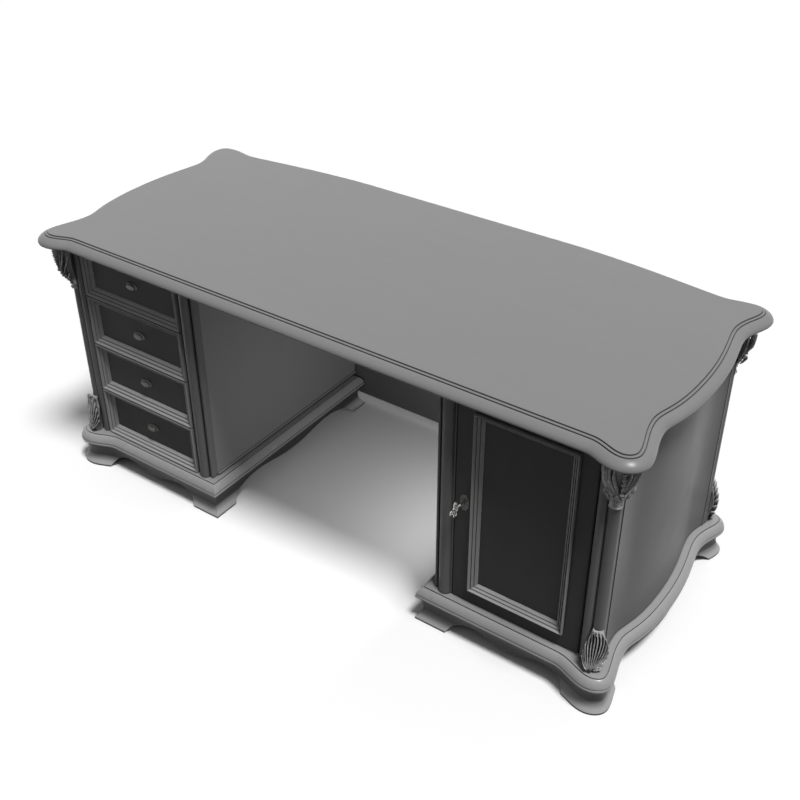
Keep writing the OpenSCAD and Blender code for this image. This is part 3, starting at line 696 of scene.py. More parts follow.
@dataclass
class Mesher:
    """Collects vertices and faces and turns them into one object.

    Args:
        points: The vertices.
        faces: The faces, as indices of vertices.
    """

    points: list[Triple] = field(default_factory=list)
    faces: list[list[int]] = field(default_factory=list)

    def rings(self, rings: Array, along: bool = False) -> None:
        """Adds a skin through closed rings of points.

        Args:
            rings: Points as rings, points and coordinates.
            along: Whether the last ring joins the first. If not, both are capped.
        """
        m, n, _ = rings.shape
        start = len(self.points)
        self.points.extend(map(tuple, rings.reshape(-1, 3)))
        for j in range(m if along else m - 1):
            low, high = start + j * n, start + ((j + 1) % m) * n
            for i in range(n):
                k = (i + 1) % n
                self.faces.append([low + i, low + k, high + k, high + i])
        if not along:
            self.faces.append([start + i for i in range(n - 1, -1, -1)])
            self.faces.append([start + (m - 1) * n + i for i in range(n)])

    def ball(self, centre: Array, radii: Triple, parts: int = 12) -> None:
        """Adds a closed ball or ellipsoid.

        Args:
            centre: Its centre.
            radii: Its half sizes.
            parts: Number of parts round it.
        """
        rings = []
        turn = full_turn(parts)
        for j in range(1, parts // 2):
            tilt = math.pi * j / (parts // 2) - math.pi / 2
            level = np.full(parts, math.sin(tilt))
            ring = np.stack([np.cos(turn) * math.cos(tilt), np.sin(turn) * math.cos(tilt), level], 1)
            rings.append(ring * np.array(radii) + centre)
        self.rings(np.array(rings))

    def tube(self, path: Array, widths: object, heights: object, out: Array, parts: int = 10) -> None:
        """Adds a closed tube of oval section along a path.

        Args:
            path: Points of the path, one a row.
            widths: Half width, or one at each point, across the surface that carries it.
            heights: Half height, or one at each point, away from that surface.
            out: Direction away from the surface, or one at each point.
            parts: Number of points round the section.
        """
        widths, heights = (np.broadcast_to(v, len(path)) for v in (widths, heights))
        along = np.gradient(path, axis=0)
        along /= np.linalg.norm(along, axis=1)[:, None]
        across = np.cross(along, out)
        across /= np.linalg.norm(across, axis=1)[:, None]
        rise = np.cross(across, along)
        turn = full_turn(parts)
        self.rings(
            path[:, None]
            + across[:, None] * (widths[:, None] * np.cos(turn))[..., None]
            + rise[:, None] * (heights[:, None] * np.sin(turn))[..., None]
        )

    def turned(self, x: float, z: float, profile: Pairs, parts: int = 24) -> None:
        """Adds a form turned about a line that runs front to back.

        Args:
            x: The line's place across.
            z: Its height.
            profile: Radius and place along y of each ring.
            parts: Number of points round it.
        """
        turn = full_turn(parts)
        self.rings(np.array([
            np.column_stack([x + r * np.cos(turn), np.full(parts, y), z + r * np.sin(turn)])
            for r, y in profile
        ]))

    def build(self, name: str) -> Object:
        """Makes the object.

        Args:
            name: Name of the piece.

        Returns:
            The object, linked to the scene.
        """
        mesh = bpy.data.meshes.new(name)
        mesh.from_pydata(self.points, [], self.faces)
        work = bmesh.new()
        work.from_mesh(mesh)
        bmesh.ops.recalc_face_normals(work, faces=work.faces)
        work.to_mesh(mesh)
        work.free()
        thing = bpy.data.objects.new(name, mesh)
        bpy.context.scene.collection.objects.link(thing)
        return thing


def smoothed(thing: Object) -> None:
    """Shades every face of an object smooth."""
    thing.data.polygons.foreach_set("use_smooth", [True] * len(thing.data.polygons))


def settle(thing: Object) -> None:
    """Applies an object's modifiers to its mesh.

    Args:
        thing: The object.
    """
    bpy.context.view_layer.update()
    graph = bpy.context.evaluated_depsgraph_get()
    mesh = bpy.data.meshes.new_from_object(thing.evaluated_get(graph))
    old = thing.data
    thing.modifiers.clear()
    thing.data = mesh
    bpy.data.meshes.remove(old)
    mesh.name = thing.name


def soften(thing: Object, width: float, angle: float = 35.0, weld: bool = False) -> None:
    """Rounds the sharp edges of an object a little and shades it smooth.

    Args:
        thing: The object.
        width: Width of the rounding.
        angle: Edges that turn by more than this, in degrees, are rounded.
        weld: Whether split vertices are joined first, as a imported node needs.
    """
    if weld:
        thing.modifiers.new("joined", "WELD").merge_threshold = TINY
    bevel = thing.modifiers.new("softened", "BEVEL")
    bevel.width = width
    bevel.segments = SOFT_STEPS
    bevel.limit_method = "ANGLE"
    bevel.angle_limit = math.radians(angle)
    bevel.harden_normals = False
    weighted = thing.modifiers.new("shading", "WEIGHTED_NORMAL")
    weighted.keep_sharp = True
    weighted.weight = SHADE_WEIGHT
    smoothed(thing)


def creased(thing: Object, angle: float) -> None:
    """Shades an object smooth except over edges that turn sharply.

    Args:
        thing: The object.
        angle: Edges that turn by more than this, in degrees, stay sharp.
    """
    work = bmesh.new()
    work.from_mesh(thing.data)
    for face in work.faces:
        face.smooth = True
    for edge in work.edges:
        edge.smooth = len(edge.link_faces) == 2 and edge.calc_face_angle(0.0) < math.radians(angle)
    work.to_mesh(thing.data)
    work.free()


def carve_away(thing: Object, cutters: list[Object]) -> None:
    """Cuts other objects out of one and removes them.

    Args:
        thing: The object that is cut.
        cutters: What is cut out of it.
    """
    for i, cutter in enumerate(cutters):
        cut = thing.modifiers.new(f"cut_{i}", "BOOLEAN")
        cut.operation = "DIFFERENCE"
        cut.solver = "EXACT"
        cut.object = cutter
    settle(thing)
    for cutter in cutters:
        mesh = cutter.data
        bpy.data.objects.remove(cutter)
        bpy.data.meshes.remove(mesh)


def mirrored(source: Object, name: str, flip_x: bool, flip_y: float | None) -> Object:
    """A mirror image of an object, with its own mesh.

    Args:
        source: The object.
        name: Name of the new piece.
        flip_x: Whether it is mirrored in the plane x = 0.
        flip_y: The plane across y that it is mirrored in, or None.

    Returns:
        The new object.
    """
    mesh = source.data.copy()
    mesh.name = name
    flip = Matrix.Scale(-1, 4, (1, 0, 0)) if flip_x else Matrix.Identity(4)
    if flip_y is not None:
        flip = Matrix.Translation((0, 2 * flip_y, 0)) @ Matrix.Scale(-1, 4, (0, 1, 0)) @ flip
    mesh.transform(flip)
    if flip_x != (flip_y is not None):
        mesh.flip_normals()
    thing = bpy.data.objects.new(name, mesh)
    bpy.context.scene.collection.objects.link(thing)
    return thing


def dress(thing: Object, material: bpy.types.Material) -> None:
    """Gives an object one material in place of what it has.

    Args:
        thing: The object.
        material: The material.
    """
    if thing.data.materials:
        for i in range(len(thing.data.materials)):
            thing.data.materials[i] = material
    else:
        thing.data.materials.append(material)


# The desk


@dataclass
class Layout:
    """Main planes of the desk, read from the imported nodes."""

    post_proud: float = 13 * MM
    knee_x: float = field(init=False)
    case_x: float = field(init=False)
    front_y: float = field(init=False)
    rear_y: float = field(init=False)
    foot_h: float = field(init=False)
    plinth_top: float = field(init=False)
    under_top: float = field(init=False)
    desk_h: float = field(init=False)

    def __post_init__(self) -> None:
        """Reads the planes."""
        self.front_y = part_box("door_frame")[0].y
        self.rear_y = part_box("right_rear_post")[1].y - self.post_proud
        self.knee_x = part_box("right_inner_post")[0].x
        self.case_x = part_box("right_outer_post")[1].x
        self.foot_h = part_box("right_base_frame")[1].z
        self.plinth_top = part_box("right_plinth")[1].z
        self.under_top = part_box("desktop")[0].z
        self.desk_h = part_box("desktop")[1].z

    @property
    def mid_y(self) -> float:
        """The plane that the rear of a pedestal mirrors its front in."""
        return (self.front_y + self.rear_y) / 2


@dataclass(frozen=True)
class Serpentine:
    """The serpentine outline of one side: how far it stands out at each turning point."""

    front: float
    rear: float
    run: float
    lobe_x: float
    lobe: float
    tip: float
    waist: float
    bulge: float
    tip_in: float = 22 * MM
    waist_front_in: float = 108 * MM
    waist_rear_in: float = 84 * MM
    bulge_in: float = 317 * MM
    lobe_shares: Pair = (0.4, 0.32)
    tip_waist_shares: Pair = (0.24, 0.39)
    waist_bulge_shares: Pair = (0.2, 0.7)
    bulge_waist_shares: Pair = (0.53, 0.2)
    waist_tip_shares: Pair = (0.45, 0.27)
    round_share: float = 0.55
    fineness: int = 24

    @staticmethod
    def swing(a: Array, b: Array, shares: Pair, axis: int, n: int) -> Array:
        """A curve whose two ends run along one axis.

        Args:
            a: Start.
            b: End.
            shares: Handle lengths as shares of its run along the axis.
            axis: 0 for x, 1 for y.
            n: Number of points.

        Returns:
            The points, without the end.
        """
        along = np.eye(2)[axis] * (b - a)
        return cubic(a, shares[0] * along, b, shares[1] * along, n)

    def rounded(self, a: Array, b: Array, axis: int, n: int) -> Array:
        """A quarter round that leaves along one axis and arrives along the other.

        Args:
            a: Start.
            b: End.
            axis: The axis that it leaves along.
            n: Number of points.

        Returns:
            The points, without the end.
        """
        leave = np.eye(2)[axis] * (b - a) * self.round_share
        arrive = np.eye(2)[1 - axis] * (b - a) * self.round_share
        return cubic(a, leave, b, arrive, n)

    def points(self, plan: Layout) -> Array:
        """The outer side from its front straight round to its rear one.

        Args:
            plan: Main planes of the desk.

        Returns:
            The points, one a row.
        """
        x, y0, y1, n = plan.case_x, plan.front_y, plan.rear_y, self.fineness
        straight_0 = np.array([x - self.run, y0 - self.front])
        lobe_0 = np.array([x + self.lobe_x, y0 - self.lobe])
        tip_0 = np.array([x + self.tip, y0 - self.tip_in])
        waist_0 = np.array([x + self.waist, y0 + self.waist_front_in])
        belly = np.array([x + self.bulge, y0 + self.bulge_in])
        waist_1 = np.array([x + self.waist, y1 - self.waist_rear_in])
        tip_1 = np.array([x + self.tip, y1 + self.tip_in])
        lobe_1 = np.array([x + self.lobe_x, y1 + self.lobe])
        straight_1 = np.array([x - self.run, y1 + self.rear])
        return np.vstack([
            self.swing(straight_0, lobe_0, self.lobe_shares, 0, n),
            self.rounded(lobe_0, tip_0, 0, n),
            self.swing(tip_0, waist_0, self.tip_waist_shares, 1, n),
            self.swing(waist_0, belly, self.waist_bulge_shares, 1, n),
            self.swing(belly, waist_1, self.bulge_waist_shares, 1, n),
            self.swing(waist_1, tip_1, self.waist_tip_shares, 1, n),
            self.rounded(tip_1, lobe_1, 1, n),
            self.swing(lobe_1, straight_1, self.lobe_shares, 0, n),
            [straight_1],
        ])


def level(outline: Array, z: float) -> Array:
    """An outline's points at one height."""
    return np.column_stack([outline, np.full(len(outline), z)])


def mould_rings(outline: Array, profile: Array, top: float) -> Array:
    """Rings of an outline swept by an edge profile, from the lowest up.

    Args:
        outline: The outline of the flat.
        profile: Outward and downward distances, from the flat down.
        top: Height of the flat.

    Returns:
        The rings.
    """
    return np.array([level(shifted(outline, out), top - down) for out, down in profile[::-1]])


@dataclass
class Desktop:
    """The moulded serpentine top."""

    plan: Layout
    edge_w: float = 31 * MM
    thick: float = 32 * MM
    bow_x: float = 330 * MM
    rear_over: float = 76 * MM
    soft: float = 0.25 * MM
    bow_shares: Pair = (0.1, 0.43)
    bow_fineness: int = 36
    outline: Serpentine = Serpentine(
        25 * MM, 35 * MM, 77 * MM, 2 * MM, 46 * MM, 29 * MM, 2 * MM, 29.5 * MM,
    )
    profile: Pairs = (
        (0, 0), (0, 0.13), (0.05, 0.13), (0.055, 0.09), (0.24, 0.1), (0.245, 0.23), (0.29, 0.23),
        (0.3, 0.18), (0.46, 0.22), (0.66, 0.33), (0.84, 0.47), (0.95, 0.61), (1, 0.75), (0.98, 0.86),
        (0.9, 0.94), (0.8, 0.97), (0.77, 1),
    )
    corners: frozenset[int] = frozenset(range(1, 8))

    def build(self, paints: Paints) -> Object:
        """Makes the top.

        Args:
            paints: The finishes.

        Returns:
            The piece.
        """
        side = self.outline.points(self.plan)
        bow_end = np.array([self.bow_x, self.plan.rear_y + self.rear_over])
        bow = self.outline.swing(side[-1], bow_end, self.bow_shares, 0, self.bow_fineness)
        half = np.vstack([side[:-1], bow, [bow_end]])
        outline = np.vstack([half, half[::-1] * (-1, 1)])
        profile = eased(np.array(self.profile) * (self.edge_w, self.thick), self.corners)
        mesh = Mesher()
        mesh.rings(mould_rings(outline, profile, self.plan.desk_h))
        top = mesh.build("desktop_board")
        soften(top, self.soft)
        dress(top, paints.get(DESKTOP))
        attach(top, "desk")
        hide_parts("desktop")
        return top


@dataclass
class Pedestal:
    """Plinth and base frame of one pedestal."""

    plan: Layout
    side: Side
    knee_over: float = 23 * MM
    plinth_edge_w: float = 14.4 * MM
    base_edge_w: float = 14 * MM
    wall: float = 26 * MM
    scallop_h: float = 46 * MM
    foot_front_w: float = 92 * MM
    foot_side_w: float = 77 * MM
    foot_rear_w: float = 61 * MM
    foot_outer_w: float = 70 * MM
    overrun: float = 5 * MM
    soft: float = 0.25 * MM
    crease: float = 38.0
    outline: Serpentine = Serpentine(
        22 * MM, 30 * MM, 109 * MM, -6 * MM, 50 * MM, 31 * MM, 7 * MM, 35 * MM,
    )
    plinth_profile: Pairs = (
        (-0.3, 0), (-0.3, 0.11), (-0.18, 0.11), (-0.17, 0.045), (-0.02, 0.07), (0.28, 0.16), (0.56, 0.29),
        (0.78, 0.44), (0.9, 0.57), (0.9, 0.62), (0.7, 0.62), (0.7, 0.67), (0.86, 0.68), (0.97, 0.73),
        (1, 0.8), (0.97, 0.87), (0.86, 0.91), (0.6, 0.92), (0.6, 1),
    )
    plinth_corners: frozenset[int] = frozenset((1, 2, 3, 9, 10, 11, 17))
    base_profile: Pairs = (
        (0.72, 0), (0.5, 0.05), (0.2, 0.13), (-0.02, 0.23), (-0.14, 0.34), (-0.16, 0.45), (-0.08, 0.56),
        (0.1, 0.66), (0.36, 0.76), (0.68, 0.85), (0.93, 0.905), (1, 0.93), (1, 0.975), (0.95, 1),
    )
    base_corners: frozenset[int] = frozenset((10,))
    scallop: Pairs = (
        (0, 0), (0.03, 0.36), (0.07, 0.66), (0.14, 0.91), (0.22, 1), (0.3, 0.9), (0.38, 0.75), (0.45, 0.66),
        (0.5, 0.64), (0.55, 0.66), (0.62, 0.75), (0.7, 0.9), (0.78, 1), (0.86, 0.91), (0.93, 0.66),
        (0.97, 0.36), (1, 0),
    )

    def plinth_outline(self) -> Array:
        """The outline of the plinth's flat, square at the kneehole.

        Returns:
            The points, one a row.
        """
        points = self.outline.points(self.plan)
        knee = self.plan.knee_x - self.knee_over
        return np.vstack([points, [knee, points[-1][1]], [knee, points[0][1]]])

    def scallop_cutter(
        self, start: Pair, end: Pair, depth: float,
    ) -> Object:
        """A cutter for the opening between two feet.

        Args:
            start: Plan of the opening's first end.
            end: Plan of its other end.
            depth: How far it cuts to either side of that line.

        Returns:
            The cutter.
        """
        a, b = np.array(start), np.array(end)
        length = np.linalg.norm(b - a)
        along = (b - a) / length
        across = np.array([-along[1], along[0]])
        line = eased(np.array(self.scallop) * (length, self.scallop_h), set(), steps=6)
        line = np.vstack([[0, -self.overrun], line, [length, -self.overrun]])
        mesh = Mesher()
        mesh.rings(np.array([
            np.column_stack([a + line[:, :1] * along + side * across, line[:, 1]])
            for side in (-depth, depth)
        ]))
        return mesh.build("cutter")

    def plinth(self, outline: Array) -> Object:
        """Makes the plinth.

        Args:
            outline: The outline of its flat.

        Returns:
            The piece.
        """
        sizes = (self.plinth_edge_w, self.plan.plinth_top - self.plan.foot_h)
        profile = eased(np.array(self.plinth_profile) * sizes, self.plinth_corners)
        mesh = Mesher()
        mesh.rings(mould_rings(outline, profile, self.plan.plinth_top))
        thing = mesh.build("plinth")
        soften(thing, self.soft)
        return thing

    def base(self, outline: Array) -> Object:
        """Makes the base frame and cuts its scallops.

        Args:
            outline: The outline of the plinth's flat.

        Returns:
            The piece.
        """
        plan = self.plan
        profile = eased(np.array(self.base_profile) * (self.base_edge_w, plan.foot_h), self.base_corners)
        inner = shifted(outline, self.base_edge_w - self.wall)
        walls = [level(inner, z) for z in (plan.foot_h, 0.0)]
        mesh = Mesher()
        mesh.rings(np.concatenate([mould_rings(outline, profile, plan.foot_h), walls]), along=True)
        thing = mesh.build("base")
        x0 = plan.knee_x - self.knee_over - self.base_edge_w
        x1 = plan.case_x - self.foot_outer_w
        x2 = plan.case_x + self.outline.bulge
        y0 = plan.front_y - self.outline.front - self.base_edge_w
        y1 = plan.rear_y + self.outline.rear + self.base_edge_w
        side_0, side_1 = y0 + self.foot_side_w, y1 - self.foot_rear_w
        reach = self.wall + 2 * self.overrun + self.outline.lobe
        carve_away(thing, [
            self.scallop_cutter((x0 + self.foot_front_w, y0), (x1, y0), reach),
            self.scallop_cutter((x0 + self.foot_front_w, y1), (x1, y1), reach),
            self.scallop_cutter((x0, side_0), (x0, side_1), self.wall + self.overrun),
            self.scallop_cutter((x2, side_0), (x2, side_1), reach),
        ])
        creased(thing, self.crease)
        return thing

    def build(self, paints: Paints) -> list[Object]:
        """Makes the plinth and the base frame.

        Args:
            paints: The finishes.

        Returns:
            The two pieces.
        """
        outline = self.plinth_outline()
        pieces = [self.plinth(outline), self.base(outline)]
        for thing, node, finish in zip(pieces, ("plinth", "base_frame"), (TRIM, BASE)):
            name = f"{self.side.label}_{node}"
            thing.name = f"{name}_moulded"
            if self.side is Side.LEFT:
                thing.data.transform(Matrix.Scale(-1, 4, (1, 0, 0)))
                thing.data.flip_normals()
            dress(thing, paints.get(finish))
            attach(thing, "desk")
            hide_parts(name)
        return pieces


def middle_and_size(low: Vector, high: Vector) -> tuple[Pair, Pair]:
    """Middle and size of a box, each across and up."""
    return ((low.x + high.x) / 2, (low.z + high.z) / 2), (high.x - low.x, high.z - low.z)


@dataclass(frozen=True)
class PanelMoulding:
    """The raised moulding that frames a drawer's flat or the door's panel."""

    width: float
    proud: float = 10 * MM
    crease: float = 30.0
    profile: Pairs = (
        (0, 0.5), (0.015, 0.8), (0.045, 0.96), (0.09, 1), (0.14, 0.95), (0.3, 0.4), (0.315, 0.16),
        (0.35, 0.18), (0.375, 0.4), (0.43, 0.44), (0.48, 0.36), (0.62, -0.12), (0.635, -0.36),
        (0.67, -0.34), (0.695, -0.12), (0.75, -0.1), (0.8, -0.2), (0.93, -0.6), (1, -0.8),
    )
    corners: frozenset[int] = frozenset((5, 6, 7, 11, 12, 13))

    @staticmethod
    def rings(
        centre: Pair, size: Pair, face_y: float, profile: Array,
    ) -> Array:
        """Rings of a rectangular moulding that faces the sitter.

        Args:
            centre: Its middle across and up.
            size: Its outer width and height.
            face_y: The plane that its profile is measured from.
            profile: Inward distance and height towards the sitter of each line.

        Returns:
            The rings.
        """
        corners = np.array([[-1, -1], [1, -1], [1, 1], [-1, 1]])
        rings = []
        for inset, proud in profile:
            flat = corners * (np.array(size) / 2 - inset) + np.array(centre)
            rings.append(np.column_stack([flat[:, 0], np.full(4, face_y - proud), flat[:, 1]]))
        return np.array(rings)

    def build(self, name: str, low: Vector, high: Vector, face: float, back: Pairs) -> Object:
        """Makes the moulding.

        Args:
            name: Name of the piece.
            low: Lowest corner of what it frames.
            high: Highest corner of what it frames.
            face: The plane that its profile is measured from.
            back: The lines of its back.

        Returns:
            The piece.
        """
        line = eased(np.array(self.profile) * (self.width, self.proud), self.corners)
        mesh = Mesher()
        mesh.rings(self.rings(*middle_and_size(low, high), face, np.vstack([line, back])), along=True)
        thing = mesh.build(name)
        creased(thing, self.crease)
        return thing


@dataclass
class Drawer:
    """The visible face of one drawer: board, moulding and pull."""

    plan: Layout
    number: int
    moulding: PanelMoulding = PanelMoulding(27 * MM)
    recess: float = 8 * MM
    lap: float = 0.3 * MM
    soft: float = 0.4 * MM
    pull_w: float = 44 * MM
    pull_h: float = 25 * MM
    pull_proud: float = 12 * MM
    pull_crease: float = 42.0
    pull_fineness: int = 96
    stalk_r: float = 2 * MM
    stalk_in: float = 1 * MM
    nut_r: float = 5 * MM
    nut_t: float = 3 * MM
    nut_chamfer: Pair = (0.8 * MM, 0.6 * MM)
    # Radius share, rise share, depth of the lobes and their number
    pull_rings: tuple[tuple[float, float, float, int], ...] = (
        (1.0, 0.0, 0.07, 16), (1.0, 0.07, 0.07, 16), (0.96, 0.15, 0.06, 16), (0.9, 0.19, 0.045, 16),
        (0.83, 0.14, 0.03, 16), (0.78, 0.12, 0.0, 0), (0.75, 0.2, 0.0, 0), (0.71, 0.24, 0.0, 0),
        (0.67, 0.2, 0.0, 0), (0.6, 0.16, 0.0, 0), (0.5, 0.2, 0.0, 0), (0.45, 0.3, 0.0, 0),
        (0.45, 0.42, 0.0, 0), (0.54, 0.5, 0.0, 0), (0.65, 0.56, 0.02, 24), (0.71, 0.63, 0.03, 24),
        (0.7, 0.7, 0.035, 24), (0.64, 0.77, 0.03, 24), (0.58, 0.8, 0.0, 0), (0.55, 0.79, 0.0, 0),
        (0.51, 0.85, 0.0, 0), (0.42, 0.92, 0.0, 0), (0.28, 0.97, 0.0, 0), (0.14, 0.99, 0.0, 0),
        (0.03, 1.0, 0.0, 0),
    )

    def build(self, paints: Paints) -> list[Object]:
        """Makes the board, the moulding round it and the pull.

        Args:
            paints: The finishes.

        Returns:
            The pieces.
        """
        low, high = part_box(f"drawer_{self.number}_front")
        centre, size = middle_and_size(low, high)
        face, body = self.plan.front_y, f"drawer_{self.number}"
        faces = np.array([(0, face - high.y), (0, -self.recess)])
        board = Mesher()
        board.rings(self.moulding.rings(centre, size, face, faces))
        front = board.build(f"{body}_board")
        soften(front, self.soft)
        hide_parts(f"{body}_front")
        back = -self.recess - self.lap
        lines = ((self.moulding.width, back), (0, back))
        moulding = self.moulding.build(f"{body}_moulding", low, high, face, lines)
        pull = self.pull(body, centre, face + self.recess)
        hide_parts(f"{body}_pull")
        for thing, finish in ((front, FRONT_PAINTED_SHADE), (moulding, MOULDED), (pull, PEWTER_PAINTED_SHADE)):
            dress(thing, paints.get(finish))
            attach(thing, body)
        return [front, moulding, pull]

    def pull(self, body: str, centre: Pair, face: float) -> Object:
        """An oval cast pull: a scalloped plate, a neck and a gadrooned boss.

        Args:
            body: Name of the drawer's body.
            centre: Middle of the drawer across and up.
            face: The plane that the plate stands on.

        Returns:
            The piece.
        """
        turn = full_turn(self.pull_fineness)
        skin = []
        for share, rise, depth, lobes in self.pull_rings:
            r = share * (1 - depth * np.cos(lobes * turn / 2) ** 2)
            skin.append(np.column_stack([
                centre[0] + r * self.pull_w / 2 * np.cos(turn),
                np.full(len(turn), face - rise * self.pull_proud),
                centre[1] + r * self.pull_h / 2 * np.sin(turn),
            ]))
        mesh = Mesher()
        mesh.rings(np.array(skin))
        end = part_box(f"{body}_pull")[1].y
        in_r, in_y = self.nut_chamfer
        mesh.turned(*centre, (
            (self.stalk_r, face - self.stalk_in), (self.stalk_r, end - self.nut_t),
            (self.nut_r, end - self.nut_t), (self.nut_r, end - in_y), (self.nut_r - in_r, end),
        ))
        thing = mesh.build(f"{body}_cast_pull")
        creased(thing, self.pull_crease)
        return thing


def key_axis() -> Pair:
    """The line that the key turns about: its place across and its height."""
    low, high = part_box("key")
    return (low.x + high.x) / 2, next(j for j in frame["joints"] if j["name"] == "key_turn")["pos_m"][2]


@dataclass
class Keyhole:
    """The scalloped plate with a raised rim and a keyhole through it."""

    plan: Layout
    petals: int = 8
    petal_depth: float = 0.15
    eye_r: float = 3 * MM
    slot_half_w: float = 1.2 * MM
    slot_h: float = 9.3 * MM
    slot_meets: float = 3.0
    plate_t: float = 1.6 * MM
    crease: float = 40.0
    fineness: int = 120
    # Share of the way in, rise and depth of the grooves between the petals
    levels: tuple[Triple, ...] = (
        (0.0, 0.0, 0.0), (0.0, 0.5, 0.1), (0.06, 0.9, 0.4), (0.18, 1.5, 0.8), (0.32, 1.3, 0.7),
        (0.42, 0.5, 0.1), (0.5, 0.45, 0.0), (0.58, 0.9, 0.0), (0.66, 1.0, 0.0), (0.74, 0.6, 0.0),
        (0.86, 0.65, 0.0), (0.9, 1.2, 0.0), (1.0, 1.2, 0.0), (1.0, 0.0, 0.0),
    )

    def eye(self, turn: Array) -> Array:
        """The keyhole: a round eye over a slot.

        Args:
            turn: Angle of each point.

        Returns:
            The points across and up, one a row.
        """
        x, z = key_axis()
        hole = []
        for a in turn:
            r, c, s = self.eye_r, math.cos(a), math.sin(a)
            if s < 0 and abs(c) * self.slot_h < self.slot_half_w * -s:
                r = self.slot_h / -s
            elif s < 0 and abs(c) * r < self.slot_half_w * self.slot_meets:
                r = max(r, min(self.slot_half_w / max(abs(c), TINY), self.slot_h / -s))
            hole.append((x + r * c, z + r * s))
        return np.array(hole)

    def build(self) -> Object:
        """Makes the plate.

        Returns:
            The piece.
        """
        centre, size = middle_and_size(*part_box("escutcheon"))
        turn = full_turn(self.fineness)
        petals = np.cos(self.petals / 2 * turn) ** 2
        rim = 1 - self.petal_depth * petals
        outer = np.column_stack([
            centre[0] + size[0] / 2 * rim * np.cos(turn), centre[1] + size[1] / 2 * rim * np.sin(turn),
        ])
        hole = self.eye(turn)
        skin = []
        for share, rise, groove in self.levels:
            flat = outer * (1 - share) + hole * share
            proud = self.plan.front_y - (rise - groove * petals) * self.plate_t
            skin.append(np.column_stack([flat[:, 0], proud, flat[:, 1]]))
        mesh = Mesher()
        mesh.rings(np.array(skin), along=True)
        thing = mesh.build("keyhole_plate")
        creased(thing, self.crease)
        return thing


@dataclass
class Key:
    """The key: a stem with collars, a bit, and a pierced bow of scrolled wire."""

    shaft_r: float = 2 * MM
    wire_r: float = 1.5 * MM
    bow_out: float = 36 * MM
    bow_up: float = 23.5 * MM
    stem_in: float = 2 * MM
    nose: Pair = (0.8, 0.5 * MM)
    bit_half_t: float = 1 * MM
    bit_w: float = 4 * MM
    bit_l: float = 9 * MM
    bit_set: float = 0.1 * MM
    bow_r: float = 11 * MM
    lobe_out: float = 15.5 * MM
    lobe_r: float = 6.5 * MM
    lobe_share: float = 0.9
    # Radius, shrink, sweep and share of the wire's radius
    lobe_scroll: tuple[float, float, float, float] = (4.4 * MM, 3.4 * MM, 400, 0.6)
    lobes: Triple = (90.0, 180.0, 270.0)
    ring_sweep: float = 359.0
    tip_share: float = 1.42
    tip_r: Triple = (1.6 * MM, 1.5 * MM, 1.5 * MM)
    boss_r: Triple = (1.8 * MM, 2.2 * MM, 2.2 * MM)
    crease: float = 50.0
    # Radius in stem radii and distance from the stem's end
    collars: Pairs = (
        (1, 11 * MM), (1.7, 10 * MM), (1.7, 8 * MM), (1.1, 7 * MM), (1.45, 5 * MM), (1.45, 3.4 * MM),
        (1, 2.4 * MM), (1, 0),
    )
    # Centre along y and z, radius, start, sweep, shrink and share of the wire's radius
    scrolls: tuple[tuple[float, ...], ...] = (
        (3.6 * MM, 4.6 * MM, 5.2 * MM, -60, 420, 4 * MM, 0.65),
        (-5.2 * MM, 4.2 * MM, 4 * MM, 120, -400, 3 * MM, 0.6),
    )

    @staticmethod
    def arc(cy: float, cz: float, radius: float, start: float, sweep: float, shrink: float = 0.0) -> Array:
        """An arc or spiral in the plane of the bow.

        Args:
            cy: Its centre along y.
            cz: Its centre along z.
            radius: Its radius at the start.
            start: Where it starts, in degrees.
            sweep: How far it turns, in degrees.
            shrink: How much the radius has shrunk at its end.

        Returns:
            The points along y and z, one a row.
        """
        t = np.linspace(0, 1, ARC_STEPS)
        a = np.radians(start + sweep * t)
        q = radius - shrink * t
        return np.column_stack([cy + q * np.cos(a), cz + q * np.sin(a)])

    def bow(self, mesh: Mesher, middle: Array) -> None:
        """Adds the pierced bow.

        Args:
            mesh: Where it is added.
            middle: The bow's middle.
        """
        def wire(plan: Array, share: float = 1.0) -> None:
            """Adds a wire drawn along y and z, of a share of the full radius."""
            path = middle + np.column_stack([np.zeros(len(plan)), plan])
            mesh.tube(path, share * self.wire_r, share * self.wire_r, np.array([1.0, 0.0, 0.0]), parts=8)

        wire(self.arc(0, 0, self.bow_r, 0, self.ring_sweep))
        radius, shrink, sweep, share = self.lobe_scroll
        for angle in self.lobes:
            a = math.radians(angle)
            cy, cz = self.lobe_out * math.cos(a), self.lobe_out * math.sin(a)
            wire(self.arc(cy, cz, self.lobe_r, 0, self.ring_sweep), self.lobe_share)
            wire(self.arc(cy, cz, radius, angle + 180, sweep, shrink), share)
            tip = middle + np.array([0, self.tip_share * cy, self.tip_share * cz])
            mesh.ball(tip, self.tip_r, parts=10)
        for sign in (-1, 1):
            for cy, cz, radius, start, sweep, shrink, share in self.scrolls:
                wire(self.arc(cy, sign * cz, radius, start * sign, sweep * sign, shrink), share)
        mesh.ball(middle, self.boss_r)

    def build(self) -> Object:
        """Makes the key.

        Returns:
            The piece.
        """
        low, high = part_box("key")
        x, z = key_axis()
        end = low.y + self.bow_out - self.stem_in
        mesh = Mesher()
        nose_share, nose_l = self.nose
        mesh.turned(x, z, (
            (nose_share * self.shaft_r, high.y), (self.shaft_r, high.y - nose_l),
            *((share * self.shaft_r, end + back) for share, back in self.collars),
        ))
        x0, x1 = x - self.bit_half_t, x + self.bit_half_t
        y0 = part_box("lock_bolt")[0].y + self.bit_set
        y1 = y0 + self.bit_w
        mesh.rings(np.array([
            [(x0, y0, level_z), (x1, y0, level_z), (x1, y1, level_z), (x0, y1, level_z)]
            for level_z in (z - self.bit_l, z)
        ]))
        self.bow(mesh, np.array([x, low.y + self.bow_up, z]))
        thing = mesh.build("door_key")
        creased(thing, self.crease)
        return thing


